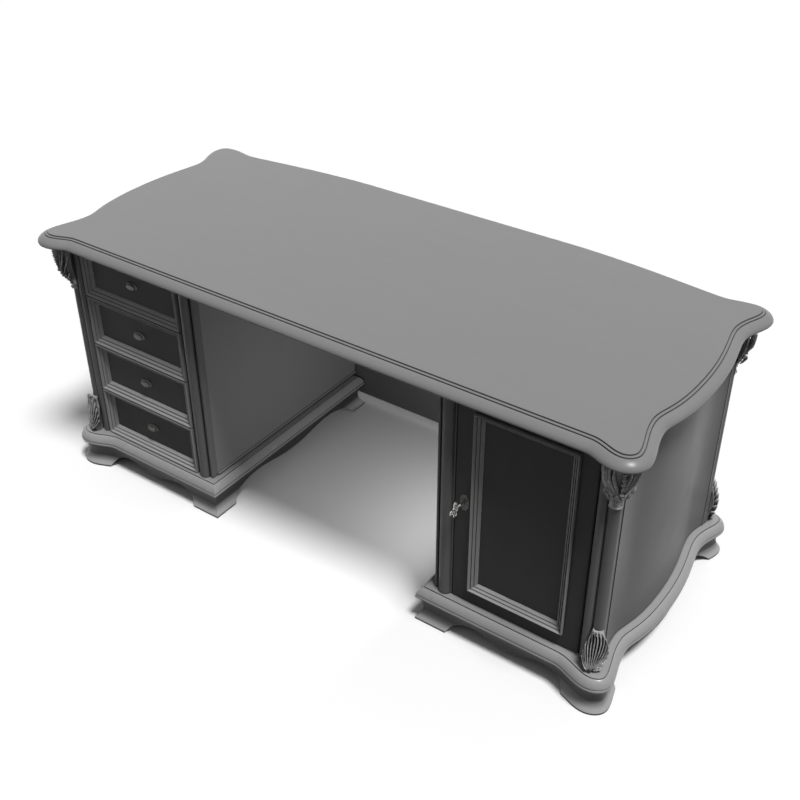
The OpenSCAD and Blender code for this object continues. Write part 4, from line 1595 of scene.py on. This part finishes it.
@dataclass
class Door:
    """The door's moulding, its escutcheon and its key."""

    plan: Layout
    moulding: PanelMoulding = PanelMoulding(22 * MM)
    lap: float = 6.2 * MM

    def build(self, paints: Paints) -> list[Object]:
        """Makes the pieces.

        Args:
            paints: The finishes.

        Returns:
            The pieces.
        """
        low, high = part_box("door_moulding")
        face, width = self.plan.front_y, self.moulding.width
        back = ((width, face - high.y), (self.lap, face - high.y), (self.lap, 0), (0, 0))
        moulding = self.moulding.build("door_panel_moulding", low, high, face, back)
        pieces = (
            (moulding, MOULDED, "door", "door_moulding"),
            (Keyhole(self.plan).build(), PEWTER_DEEPER_SHADE, "door", "escutcheon"),
            (Key().build(), PEWTER_PAINTED_LIGHT, "key", "key"),
        )
        for thing, finish, body, node in pieces:
            dress(thing, paints.get(finish))
            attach(thing, body)
            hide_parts(node)
        return [piece[0] for piece in pieces]


@dataclass
class Carving:
    """A carved ornament that wraps the front of a post's column."""

    plan: Layout
    column_r: float = 15.5 * MM
    column_set: float = 4 * MM
    seat: float = 0.3 * MM
    skin: float = 1.4 * MM
    voxel: float = 0.7 * MM
    ease: float = 0.5
    face_parts: int = 40
    hollow_parts: int = 24

    def centre(self) -> Array:
        """The centre of the front right column, in plan."""
        return np.array([self.plan.case_x - self.column_r, self.plan.front_y + self.column_set])

    def reach_of(self, path: Array) -> Array:
        """How far each point of a path stands from the column's centre."""
        return np.linalg.norm(path[:, :2] - self.centre(), axis=1)

    def shell(
        self, mesh: Mesher, heights: Array, radii: tuple[Array, Array, Array],
        angles: Pair, hollow: Pair,
    ) -> None:
        """Adds the smooth body that the carving stands on.

        Args:
            mesh: Where it is added.
            heights: Height of each ring.
            radii: Reach of each ring forward, to the outer side and to the inner side.
            angles: First and last turn of the outer face, in degrees.
            hollow: First and last turn of the hollow, in degrees.
        """
        r0 = self.column_r + self.seat
        a = np.radians(np.linspace(*angles, self.face_parts))
        b = np.radians(np.linspace(*hollow[::-1], self.hollow_parts))
        back = r0 * np.column_stack([np.cos(b), np.sin(b)])
        rings = []
        for h, front, outer, inner in zip(heights, *radii):
            rx = np.where(np.cos(a) < 0, inner, outer)
            p = np.column_stack([rx * np.cos(a), front * np.sin(a)])
            norm = np.linalg.norm(p, axis=1)
            p *= (np.maximum(norm, r0 + self.skin) / norm)[:, None]
            rings.append(level(np.vstack([p, back]) + self.centre(), h))
        mesh.rings(np.array(rings))

    def lifted(self, plan: Array, heights: Array, lift: Array) -> tuple[Array, Array]:
        """Lifts places on the body off its face.

        Args:
            plan: The places in plan, from the column's centre.
            heights: Their heights.
            lift: How far each stands off the face.

        Returns:
            The places and the outward directions.
        """
        norm = np.linalg.norm(plan, axis=1)[:, None]
        out = plan / norm
        plan = out * np.maximum(norm, self.column_r + self.seat + self.skin) + out * lift[:, None]
        return np.column_stack([plan + self.centre(), heights]), level(out, 0.0)

    def finish(self, mesh: Mesher, name: str) -> Object:
        """Melts the carved strokes and the body into one skin.

        Args:
            mesh: What was added.
            name: Name of the piece.

        Returns:
            The piece.
        """
        thing = mesh.build(name)
        melt = thing.modifiers.new("melt", "REMESH")
        melt.mode = "VOXEL"
        melt.voxel_size = self.voxel
        ease = thing.modifiers.new("ease", "SMOOTH")
        ease.factor = self.ease
        ease.iterations = 1
        settle(thing)
        smoothed(thing)
        return thing


@dataclass
class Corbel(Carving):
    """The acanthus corbel under a corner of the top."""

    height: float = 148 * MM
    reach: float = 57 * MM
    outer: float = 47 * MM
    inner: float = 34 * MM
    axis: float = 308.0
    profile: Pairs = (
        (0, 0.34), (0.04, 0.4), (0.09, 0.41), (0.14, 0.36), (0.24, 0.48), (0.4, 0.72), (0.56, 0.89),
        (0.74, 0.95), (0.9, 0.93), (1, 0.95),
    )
    body_share: float = 0.78
    body_angles: Pair = (219, 369)
    hollow_angles: Pair = (232, 362)
    # Turns of the fronds' heads from the axis, in degrees
    heads: tuple[float, ...] = (-82, -65, -49, -34, -20, 15, 31, 48)
    root: float = -6.0
    fan: Triple = (0.42, 0.58, 1.4)
    sway: float = 9.0
    frond_foot: float = 0.11
    frond_tops: Pair = (0.975, 0.88)
    full_heads: Pair = (-75, 45)
    frond_sink: float = 3.8 * MM
    frond_step: float = 2.0 * MM
    frond_curl: float = 3.2 * MM
    frond_curl_power: int = 5
    frond_fill: float = 0.33
    frond_taper: Triple = (0.06, 0.96, 0.4)
    frond_swell: Pair = (0.5, 0.5)
    fineness: int = 40
    frond_h: float = 6.6 * MM
    ridge_lean: float = 0.24
    ridge_rise: float = 5.8 * MM
    ridge_top: float = 0.99
    ridge_size: Pair = (1.2 * MM, 2.4 * MM)
    beads: int = 11
    bead_top: float = 0.965
    bead_pitch: float = 0.047
    bead_sizes: Pair = (4.1, 0.12)
    bead_flat: float = 0.66
    bead_turn: float = 1.0
    bead_apart: float = 2.4
    bead_lift: float = 2.6 * MM
    # Turn from the axis, height share, lift and radius of each berry
    cluster: tuple[tuple[float, float, float, float], ...] = (
        (1, 0.42, 6.0, 4.8), (-13, 0.375, 4.0, 4.2), (14, 0.37, 4.0, 4.2), (-8, 0.305, 6.0, 4.3),
        (9, 0.3, 6.0, 4.3), (1, 0.24, 5.6, 4.0), (-19, 0.3, 3.0, 3.4), (20, 0.29, 3.0, 3.4),
        (1, 0.175, 4.0, 3.2), (-13, 0.235, 3.0, 3.2), (14, 0.23, 3.0, 3.2),
    )
    # Turn from the axis and height share where each side leaf starts
    side_leaves: Pairs = ((-74, 0.42), (-60, 0.34), (40, 0.36), (54, 0.44))
    leaf_turn: float = 0.14
    leaf_drop: float = 0.16
    leaf_lift: Pair = (1.5 * MM, 3.5 * MM)
    leaf_size: Pair = (3.6 * MM, 3.2 * MM)
    leaf_taper: Triple = (0.12, 0.97, 0.6)
    leaf_steps: int = 24
    collar_angles: Pair = (232, 352)
    collar_taper: Triple = (0.06, 0.94, 0.5)
    collar_z: float = 3.6 * MM
    collar_proud: float = 2.6 * MM
    collar_size: Pair = (3.4 * MM, 4.2 * MM)

    def spot(self, turn: Array, share: Array, lift: Array) -> tuple[Array, Array]:
        """Places of points over the body's face.

        Args:
            turn: Turn of each about the column, in degrees.
            share: Height of each as a share of the whole.
            lift: How far each stands off the face.

        Returns:
            The places and the outward directions.
        """
        line = np.array(self.profile)
        reach = np.interp(share, line[:, 0], line[:, 1])
        a = np.radians(turn)
        rx = np.where(np.cos(a) < 0, self.inner, self.outer)
        plan = np.column_stack([rx * np.cos(a), self.reach * np.sin(a)]) * reach[:, None]
        return self.lifted(plan, self.plan.under_top - self.height + share * self.height, lift)

    def dot(
        self, mesh: Mesher, turn: float, share: float, lift: float, radii: Triple, parts: int = 12,
    ) -> None:
        """Adds a ball on the body's face.

        Args:
            mesh: Where it is added.
            turn: Its turn from the axis, in degrees.
            share: Its height as a share of the whole.
            lift: How far its centre stands off the face.
            radii: Its half sizes.
            parts: Number of parts round it.
        """
        places, _ = self.spot(*(np.array([v]) for v in (self.axis + turn, share, lift)))
        mesh.ball(places[0], radii, parts)

    def fronds(self, mesh: Mesher) -> None:
        """Adds the S-shaped fronds, each with a ridge beside its middle.

        Args:
            mesh: Where they are added.
        """
        t = np.linspace(0, 1, self.fineness)
        narrow, widens, power = self.fan
        fan = narrow + widens * t**power
        fade = taper(*self.frond_taper, self.fineness)
        swell = self.frond_swell[0] + self.frond_swell[1] * t
        for k, head in enumerate(self.heads):
            gap = min(abs(head - other) for other in self.heads if other != head)
            sway = self.sway * np.sin(2 * math.pi * t) * np.sign(head - self.root)
            turn = self.axis + self.root + (head - self.root) * fan - sway
            full = self.full_heads[0] < head < self.full_heads[1]
            top = self.frond_tops[0] if full else self.frond_tops[1]
            share = self.frond_foot + (top - self.frond_foot) * t
            lift = -self.frond_sink + self.frond_step * (k % 2) + self.frond_curl * t**self.frond_curl_power
            path, out = self.spot(turn, share, lift)
            wide = np.radians(gap) * self.reach_of(path) * fan * self.frond_fill
            mesh.tube(path, wide * fade, self.frond_h * fade * swell, out)
            turn = turn - self.ridge_lean * gap * t
            ridge, out = self.spot(turn, share * self.ridge_top, lift + self.ridge_rise * swell)
            mesh.tube(ridge, self.ridge_size[0] * fade, self.ridge_size[1] * fade, out, parts=8)

    def ornaments(self, mesh: Mesher) -> None:
        """Adds the rope of beads, the berries, the side leaves and the collar.

        Args:
            mesh: Where they are added.
        """
        for k in range(self.beads):
            size = (self.bead_sizes[0] - self.bead_sizes[1] * k) * MM
            share = self.bead_top - self.bead_pitch * k
            for shift in (-self.bead_apart, self.bead_apart) if k % 2 else (0.0,):
                radii = (size, size, self.bead_flat * size)
                self.dot(mesh, self.bead_turn + shift, share, self.bead_lift, radii, parts=14)
        for turn, share, lift, size in self.cluster:
            self.dot(mesh, turn, share, lift * MM, (size * MM,) * 3)
        u = np.linspace(0, 1, self.leaf_steps)
        thick = taper(*self.leaf_taper, self.leaf_steps)
        lift = self.leaf_lift[0] + self.leaf_lift[1] * np.sin(math.pi * u)
        for end, foot in self.side_leaves:
            turn = self.axis + end - self.leaf_turn * end * u
            path, out = self.spot(turn, foot - self.leaf_drop * u, lift)
            mesh.tube(path, self.leaf_size[0] * thick, self.leaf_size[1] * thick, out)
        a = np.radians(np.linspace(*self.collar_angles, self.fineness))
        swell = taper(*self.collar_taper, self.fineness)
        out = np.column_stack([np.cos(a), np.sin(a)])
        ring = self.centre() + (self.column_r + self.collar_proud * swell)[:, None] * out
        path = level(ring, self.plan.under_top - self.height + self.collar_z)
        mesh.tube(path, self.collar_size[0] * swell, self.collar_size[1] * swell, level(out, 0.0), parts=12)

    def build(self, name: str) -> Object:
        """Carves the front right corbel.

        Args:
            name: Name of the piece.

        Returns:
            The piece.
        """
        mesh = Mesher()
        line = eased(np.array(self.profile), set())
        heights = self.plan.under_top - self.height + line[:, 0] * self.height
        radii = tuple(line[:, 1] * size * self.body_share for size in (self.reach, self.outer, self.inner))
        self.shell(mesh, heights, radii, self.body_angles, self.hollow_angles)
        self.fronds(mesh)
        self.ornaments(mesh)
        return self.finish(mesh, name)


@dataclass
class Leaf(Carving):
    """The palmette leaf that stands on a corner of the plinth."""

    height: float = 134 * MM
    reach: float = 46 * MM
    half_w: float = 36 * MM
    axis: float = 293.0
    # Height, side and front shares
    profile: tuple[Triple, ...] = (
        (0, 0.6, 1), (0.1, 0.64, 0.99), (0.22, 0.78, 0.94), (0.38, 0.94, 0.88), (0.54, 1, 0.8),
        (0.7, 0.96, 0.68), (0.84, 0.8, 0.62), (0.94, 0.62, 0.68), (1, 0.44, 0.66),
    )
    face_share: float = 0.94
    body_shares: Triple = (0.9, 0.76, 0.72)
    body_angles: Pair = (231, 347)
    hollow_angles: Pair = (233, 342)
    # Turn of each pair of fronds from the axis, and height share of its head
    heads: Pairs = ((0, 0.985), (14, 0.965), (27, 0.89), (39, 0.78), (49, 0.64), (57, 0.48), (62, 0.32))
    fan: Pair = (0.2, 0.8)
    fan_power: Pair = (1.25, 0.011)
    foot: Pair = (0.03, 0.001)
    frond_sink: float = 1.6 * MM
    frond_step: float = 0.8 * MM
    curl_from: float = 0.78
    curls: Pair = (5.2, 3.6)
    curl_turn: float = 30.0
    frond_turn: float = 13.0
    frond_fill: Pair = (0.46, 0.84)
    frond_w: float = 5.4 * MM
    frond_h: float = 5.6 * MM
    # Share of its length over which each end thins, and the least that is left
    frond_tip: Pair = (0.16, 0.02)
    frond_start: Pair = (0.1, 0.1)
    fineness: int = 44
    ridge_turn: float = 2.2
    ridge_rise: float = 4.9 * MM
    ridge_top: float = 0.985
    ridge_size: Pair = (1.0 * MM, 1.8 * MM)
    roll_z: float = 8 * MM
    roll_out: float = 33 * MM
    roll_half_w: float = 13 * MM
    roll_bow: float = 5 * MM
    roll_r: float = 4.6 * MM
    roll_steps: int = 15
    # Radius and shrink of the spirals, and radius and thinning of their wire
    spiral_r: Pair = (6.4 * MM, 4.8 * MM)
    spiral_wire: Pair = (1.9 * MM, 0.4)
    spiral_turns: float = 1.7
    spiral_steps: int = 60
    spiral_out: float = 13.5 * MM
    spiral_rise: float = 1.6 * MM
    eye_out: float = 1.2 * MM
    eye_r: float = 2.6 * MM
    ribs: Triple = (-6.5 * MM, 0.0, 6.5 * MM)
    rib_half_turn: float = 117.0
    rib_steps: int = 24
    rib_out: float = 4.8 * MM
    rib_r: float = 1.5 * MM

    def spot(self, turn: Array, share: Array, lift: Array) -> tuple[Array, Array]:
        """Places of points over the leaf's face.

        Args:
            turn: Turn of each about the column, in degrees.
            share: Height of each as a share of the whole.
            lift: How far each stands off the face.

        Returns:
            The places and the outward directions.
        """
        line = np.array(self.profile)
        side = np.interp(share, line[:, 0], line[:, 1]) * self.half_w * self.face_share
        front = np.interp(share, line[:, 0], line[:, 2]) * self.reach * self.face_share
        a = np.radians(turn)
        plan = np.column_stack([side * np.cos(a), front * np.sin(a)])
        return self.lifted(plan, self.plan.plinth_top + share * self.height, lift)

    def frond(self, mesh: Mesher, end: float, top: float, hand: int) -> None:
        """Adds one frond and the ridge along it.

        Args:
            mesh: Where it is added.
            end: Turn of its head from the axis, in degrees.
            top: Height share of its head.
            hand: -1 or 1 for the side that it bends to.
        """
        t = np.linspace(0, 1, self.fineness)
        power = self.fan_power[0] - self.fan_power[1] * end
        fan = self.fan[0] + self.fan[1] * np.sin(math.pi / 2 * t) ** power
        turn = self.axis + hand * end * fan
        foot = self.foot[0] + self.foot[1] * end
        share = foot + (top - foot) * t
        curl = np.clip((t - self.curl_from) / (1 - self.curl_from), 0, 1) ** 2
        rise = self.curls[0] if end < self.curl_turn else self.curls[1]
        lift = -self.frond_sink + rise * MM * curl + self.frond_step * (-1) ** (end % 2)
        path, out = self.spot(turn, share, lift)
        wide = np.radians(self.frond_turn) * self.reach_of(path) * fan * self.frond_fill[0]
        wide = self.frond_fill[1] * np.minimum(wide, self.frond_w)
        tip, start = (
            np.sqrt(np.clip(away / run, least, 1))
            for away, (run, least) in ((1 - t, self.frond_tip), (t, self.frond_start))
        )
        mesh.tube(path, wide * tip, self.frond_h * tip * start, out)
        turn = turn - hand * self.ridge_turn * t
        ridge, out = self.spot(turn, share * self.ridge_top, lift + self.ridge_rise * start)
        mesh.tube(ridge, self.ridge_size[0] * tip, self.ridge_size[1] * tip, out, parts=8)

    def foot_scroll(self, mesh: Mesher) -> None:
        """Adds the rolled foot, whose two ends show as spirals.

        Args:
            mesh: Where it is added.
        """
        a = math.radians(self.axis)
        forward = np.array([math.cos(a), math.sin(a), 0.0])
        across = np.array([-math.sin(a), math.cos(a), 0.0])
        up = np.array([0.0, 0.0, 1.0])
        middle = np.append(self.centre(), self.plan.plinth_top + self.roll_z) + forward * self.roll_out
        span = np.linspace(-1, 1, self.roll_steps)[:, None]
        roll = middle + across * (span * self.roll_half_w) - forward * (span**2 * self.roll_bow)
        mesh.tube(roll, self.roll_r, self.roll_r, up, parts=20)
        t = np.linspace(0, 1, self.spiral_steps)
        turn = 2 * math.pi * self.spiral_turns * t
        q = self.spiral_r[0] - self.spiral_r[1] * t
        spiral = forward * (q * np.cos(turn))[:, None] + up * (q * np.sin(turn))[:, None]
        wire = self.spiral_wire[0] * (1 - self.spiral_wire[1] * t)
        for hand in (-1, 1):
            centre = middle + across * hand * self.spiral_out - forward * self.roll_bow
            rising = across * (hand * self.spiral_rise * t)[:, None]
            mesh.tube(centre + spiral + rising, wire, wire, across)
            mesh.ball(centre + across * hand * self.eye_out, (self.eye_r,) * 3, parts=10)
        turn = np.radians(np.linspace(-self.rib_half_turn, self.rib_half_turn, self.rib_steps))[:, None]
        round_out = forward * np.cos(turn) + up * np.sin(turn)
        for shift in self.ribs:
            ring = middle + across * shift - forward * (shift / self.roll_half_w) ** 2 * self.roll_bow
            mesh.tube(ring + self.rib_out * round_out, self.rib_r, self.rib_r, round_out, parts=8)

    def build(self, name: str) -> Object:
        """Carves the front right leaf.

        Args:
            name: Name of the piece.

        Returns:
            The piece.
        """
        mesh = Mesher()
        line = eased(np.array(self.profile), set())
        tall, deep, broad = self.body_shares
        heights = self.plan.plinth_top + line[:, 0] * self.height * tall
        side = line[:, 1] * self.half_w * broad
        radii = (line[:, 2] * self.reach * deep, side, side)
        self.shell(mesh, heights, radii, self.body_angles, self.hollow_angles)
        for end, top in self.heads:
            for hand in (-1, 1) if end else (1,):
                self.frond(mesh, end, top, hand)
        self.foot_scroll(mesh)
        return self.finish(mesh, name)


@dataclass
class Carvings:
    """The four corbels and the four leaves."""

    plan: Layout

    def build(self, paints: Paints) -> list[Object]:
        """Carves one of each and mirrors it to the other corners.

        Args:
            paints: The finishes.

        Returns:
            The pieces.
        """
        mid = self.plan.mid_y
        copies = (("right_rear", False, mid), ("left_front", True, None), ("left_rear", True, mid))
        kinds = (("corbel", Corbel(self.plan), CORBEL_PAINTED_LIGHT), ("leaf", Leaf(self.plan), LEAFY))
        pieces = []
        for kind, maker, finish in kinds:
            first = maker.build(f"right_front_{kind}_carved")
            dress(first, paints.get(finish))
            corners = {"right_front": first}
            for corner, flip_x, flip_y in copies:
                corners[corner] = mirrored(first, f"{corner}_{kind}_carved", flip_x, flip_y)
            for corner, thing in corners.items():
                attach(thing, "desk")
                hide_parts(f"{corner}_{kind}")
                pieces.append(thing)
        return pieces


@dataclass
class Carcase:
    """The CAD nodes that show as they are, with softened edges and finishes."""

    metal_soft: float = 0.25 * MM
    timber_soft: float = 0.6 * MM
    angle: float = 40.0

    @staticmethod
    def finish_of(node: str) -> Lacquer | Metal:
        """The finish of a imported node.

        Args:
            node: Name of the node.

        Returns:
            Its finish.
        """
        if "_post" in node:
            return POST_PAINTED_SHADE
        if "inner_side" in node:
            return INNER_PAINTED_LIGHT
        if "side" in node or "_back" in node or node == "modesty_panel":
            return CASE_PAINTED_SHADE
        if node in ("door_frame", "door_panel"):
            return FRONT_PAINTED_SHADE
        if any(word in node for word in ("screws", "pins", "pivot", "lock_")):
            return STEEL
        return INSIDE

    def build(self, paints: Paints) -> list[Object]:
        """Dresses every node that nothing replaces.

        Args:
            paints: The finishes.

        Returns:
            The nodes' objects.
        """
        kept = []
        for name, node in frame["nodes"].items():
            if node.hide_render:
                continue
            finish = self.finish_of(name)
            dress(node, paints.get(finish))
            width = self.metal_soft if isinstance(finish, Metal) else self.timber_soft
            soften(node, width, self.angle, weld=True)
            kept.append(node)
        return kept


@dataclass
class Studio:
    """Camera, lamps, world and floor."""

    camera_at: Triple = (1.57814, -2.17378, 2.20596)
    azimuth: float = 35.2572
    elevation: float = 34.631
    roll: float = -0.1528
    lens: float = 51.85
    sensor: float = 36.0
    far: float = 100.0
    # Strength, angle in degrees and direction of each sun
    key: tuple[float, float, Triple] = (2.8, 14, (0.33, -0.12, 0.94))
    overhead: tuple[float, float, Triple] = (0.35, 100, (0.1, -0.05, 0.99))
    card_power: float = 1.6
    card_size: Pair = (0.5, 0.44)
    card_at: Triple = (0.34, -0.02, 0.34)
    sky: float = 0.08
    bounce: float = 0.08
    floor_half: float = 30.0

    def build(self) -> None:
        """Sets up the whole studio."""
        self.camera()
        self.lamps()
        self.world()
        self.floor()
        bpy.context.scene.view_settings.view_transform = "Standard"

    def camera(self) -> None:
        """Places the camera at the photograph's viewpoint."""
        az, el, roll = (math.radians(v) for v in (self.azimuth, self.elevation, self.roll))
        back = Vector((math.sin(az) * math.cos(el), -math.cos(az) * math.cos(el), math.sin(el)))
        right = Vector((math.cos(az), math.sin(az), 0))
        up = back.cross(right)
        cos, sin = math.cos(roll), math.sin(roll)
        right, up = right * cos + up * sin, up * cos - right * sin
        data = bpy.data.cameras.new("studio_camera")
        data.lens = self.lens
        data.sensor_width = self.sensor
        data.clip_end = self.far
        camera = bpy.data.objects.new("studio_camera", data)
        turned = Matrix((right, up, back)).transposed().to_4x4()
        camera.matrix_world = Matrix.Translation(self.camera_at) @ turned
        bpy.context.scene.collection.objects.link(camera)
        bpy.context.scene.camera = camera

    @staticmethod
    def hang(name: str, kind: str, energy: float, source: Triple) -> Object:
        """Hangs a lamp.

        Args:
            name: Its name.
            kind: Blender's type of the lamp.
            energy: Its strength.
            source: Direction that its light comes from.

        Returns:
            The lamp.
        """
        data = bpy.data.lights.new(name, kind)
        data.energy = energy
        lamp = bpy.data.objects.new(name, data)
        lamp.rotation_mode = "QUATERNION"
        lamp.rotation_quaternion = Vector(source).to_track_quat("Z", "Y")
        bpy.context.scene.collection.objects.link(lamp)
        return lamp

    def lamps(self) -> None:
        """Adds a key lamp, a broad soft one overhead and a card that lightens the kneehole."""
        for name, sun in (("studio_key", self.key), ("studio_overhead", self.overhead)):
            strength, angle, source = sun
            self.hang(name, "SUN", strength, source).data.angle = math.radians(angle)
        card = self.hang("studio_card", "AREA", self.card_power, (1, 0, 0))
        card.data.shape = "RECTANGLE"
        card.data.size, card.data.size_y = self.card_size
        card.location = self.card_at
        card.visible_camera = False
        card.visible_glossy = False

    @staticmethod
    def white_to_view(tree: NodeTree, tone: float) -> Socket:
        """A colour that is white to the camera, in reflections and through glass.

        Args:
            tree: The tree that it is added to.
            tone: The grey that lights the desk.

        Returns:
            The colour's socket.
        """
        path = tree.add("ShaderNodeLightPath")
        seen = tree.math("MAXIMUM", path.outputs["Is Camera Ray"], path.outputs["Is Glossy Ray"])
        seen = tree.math("MAXIMUM", seen, path.outputs["Is Transmission Ray"])
        return tree.blend(seen, grey(tone), grey(1.0))

    def world(self) -> None:
        """A plain grey sky that looks white to the camera."""
        world = bpy.data.worlds.new("studio_world")
        bpy.context.scene.world = world
        world.use_nodes = True
        tree = NodeTree(world.node_tree)
        tree.join(self.white_to_view(tree, self.sky), world.node_tree.nodes["Background"].inputs["Color"])

    def floor(self) -> None:
        """A plain pale floor that keeps the desk's shadow."""
        half = self.floor_half
        corners = [(-half, -half, 0), (half, -half, 0), (half, half, 0), (-half, half, 0)]
        floor = Mesher(corners, [[0, 1, 2, 3]]).build("studio_floor")
        material = bpy.data.materials.new("studio_paper")
        material.use_nodes = True
        tree = NodeTree(material.node_tree)
        shader = material.node_tree.nodes["Principled BSDF"]
        tree.join(self.white_to_view(tree, self.bounce), shader.inputs["Base Color"])
        shader.inputs["Roughness"].default_value = 1.0
        shader.inputs["Specular IOR Level"].default_value = 0.0
        dress(floor, material)


def main() -> None:
    """Builds the desk in order and reports each piece."""
    logging.basicConfig(level=logging.INFO, format="%(message)s")
    plan = Layout()
    Studio().build()
    paints = Paints(Effects())
    makers = [Desktop(plan)]
    makers += [Pedestal(plan, side) for side in Side]
    makers += [Drawer(plan, number) for number in range(1, DRAWERS + 1)]
    makers += [Door(plan), Carvings(plan), Carcase()]
    for maker in makers:
        made = maker.build(paints)
        for thing in made if isinstance(made, list) else [made]:
            LOG.info("%s: %s, %d faces", type(maker).__name__, thing.name, len(thing.data.polygons))


if __name__ == "__main__":
    main()
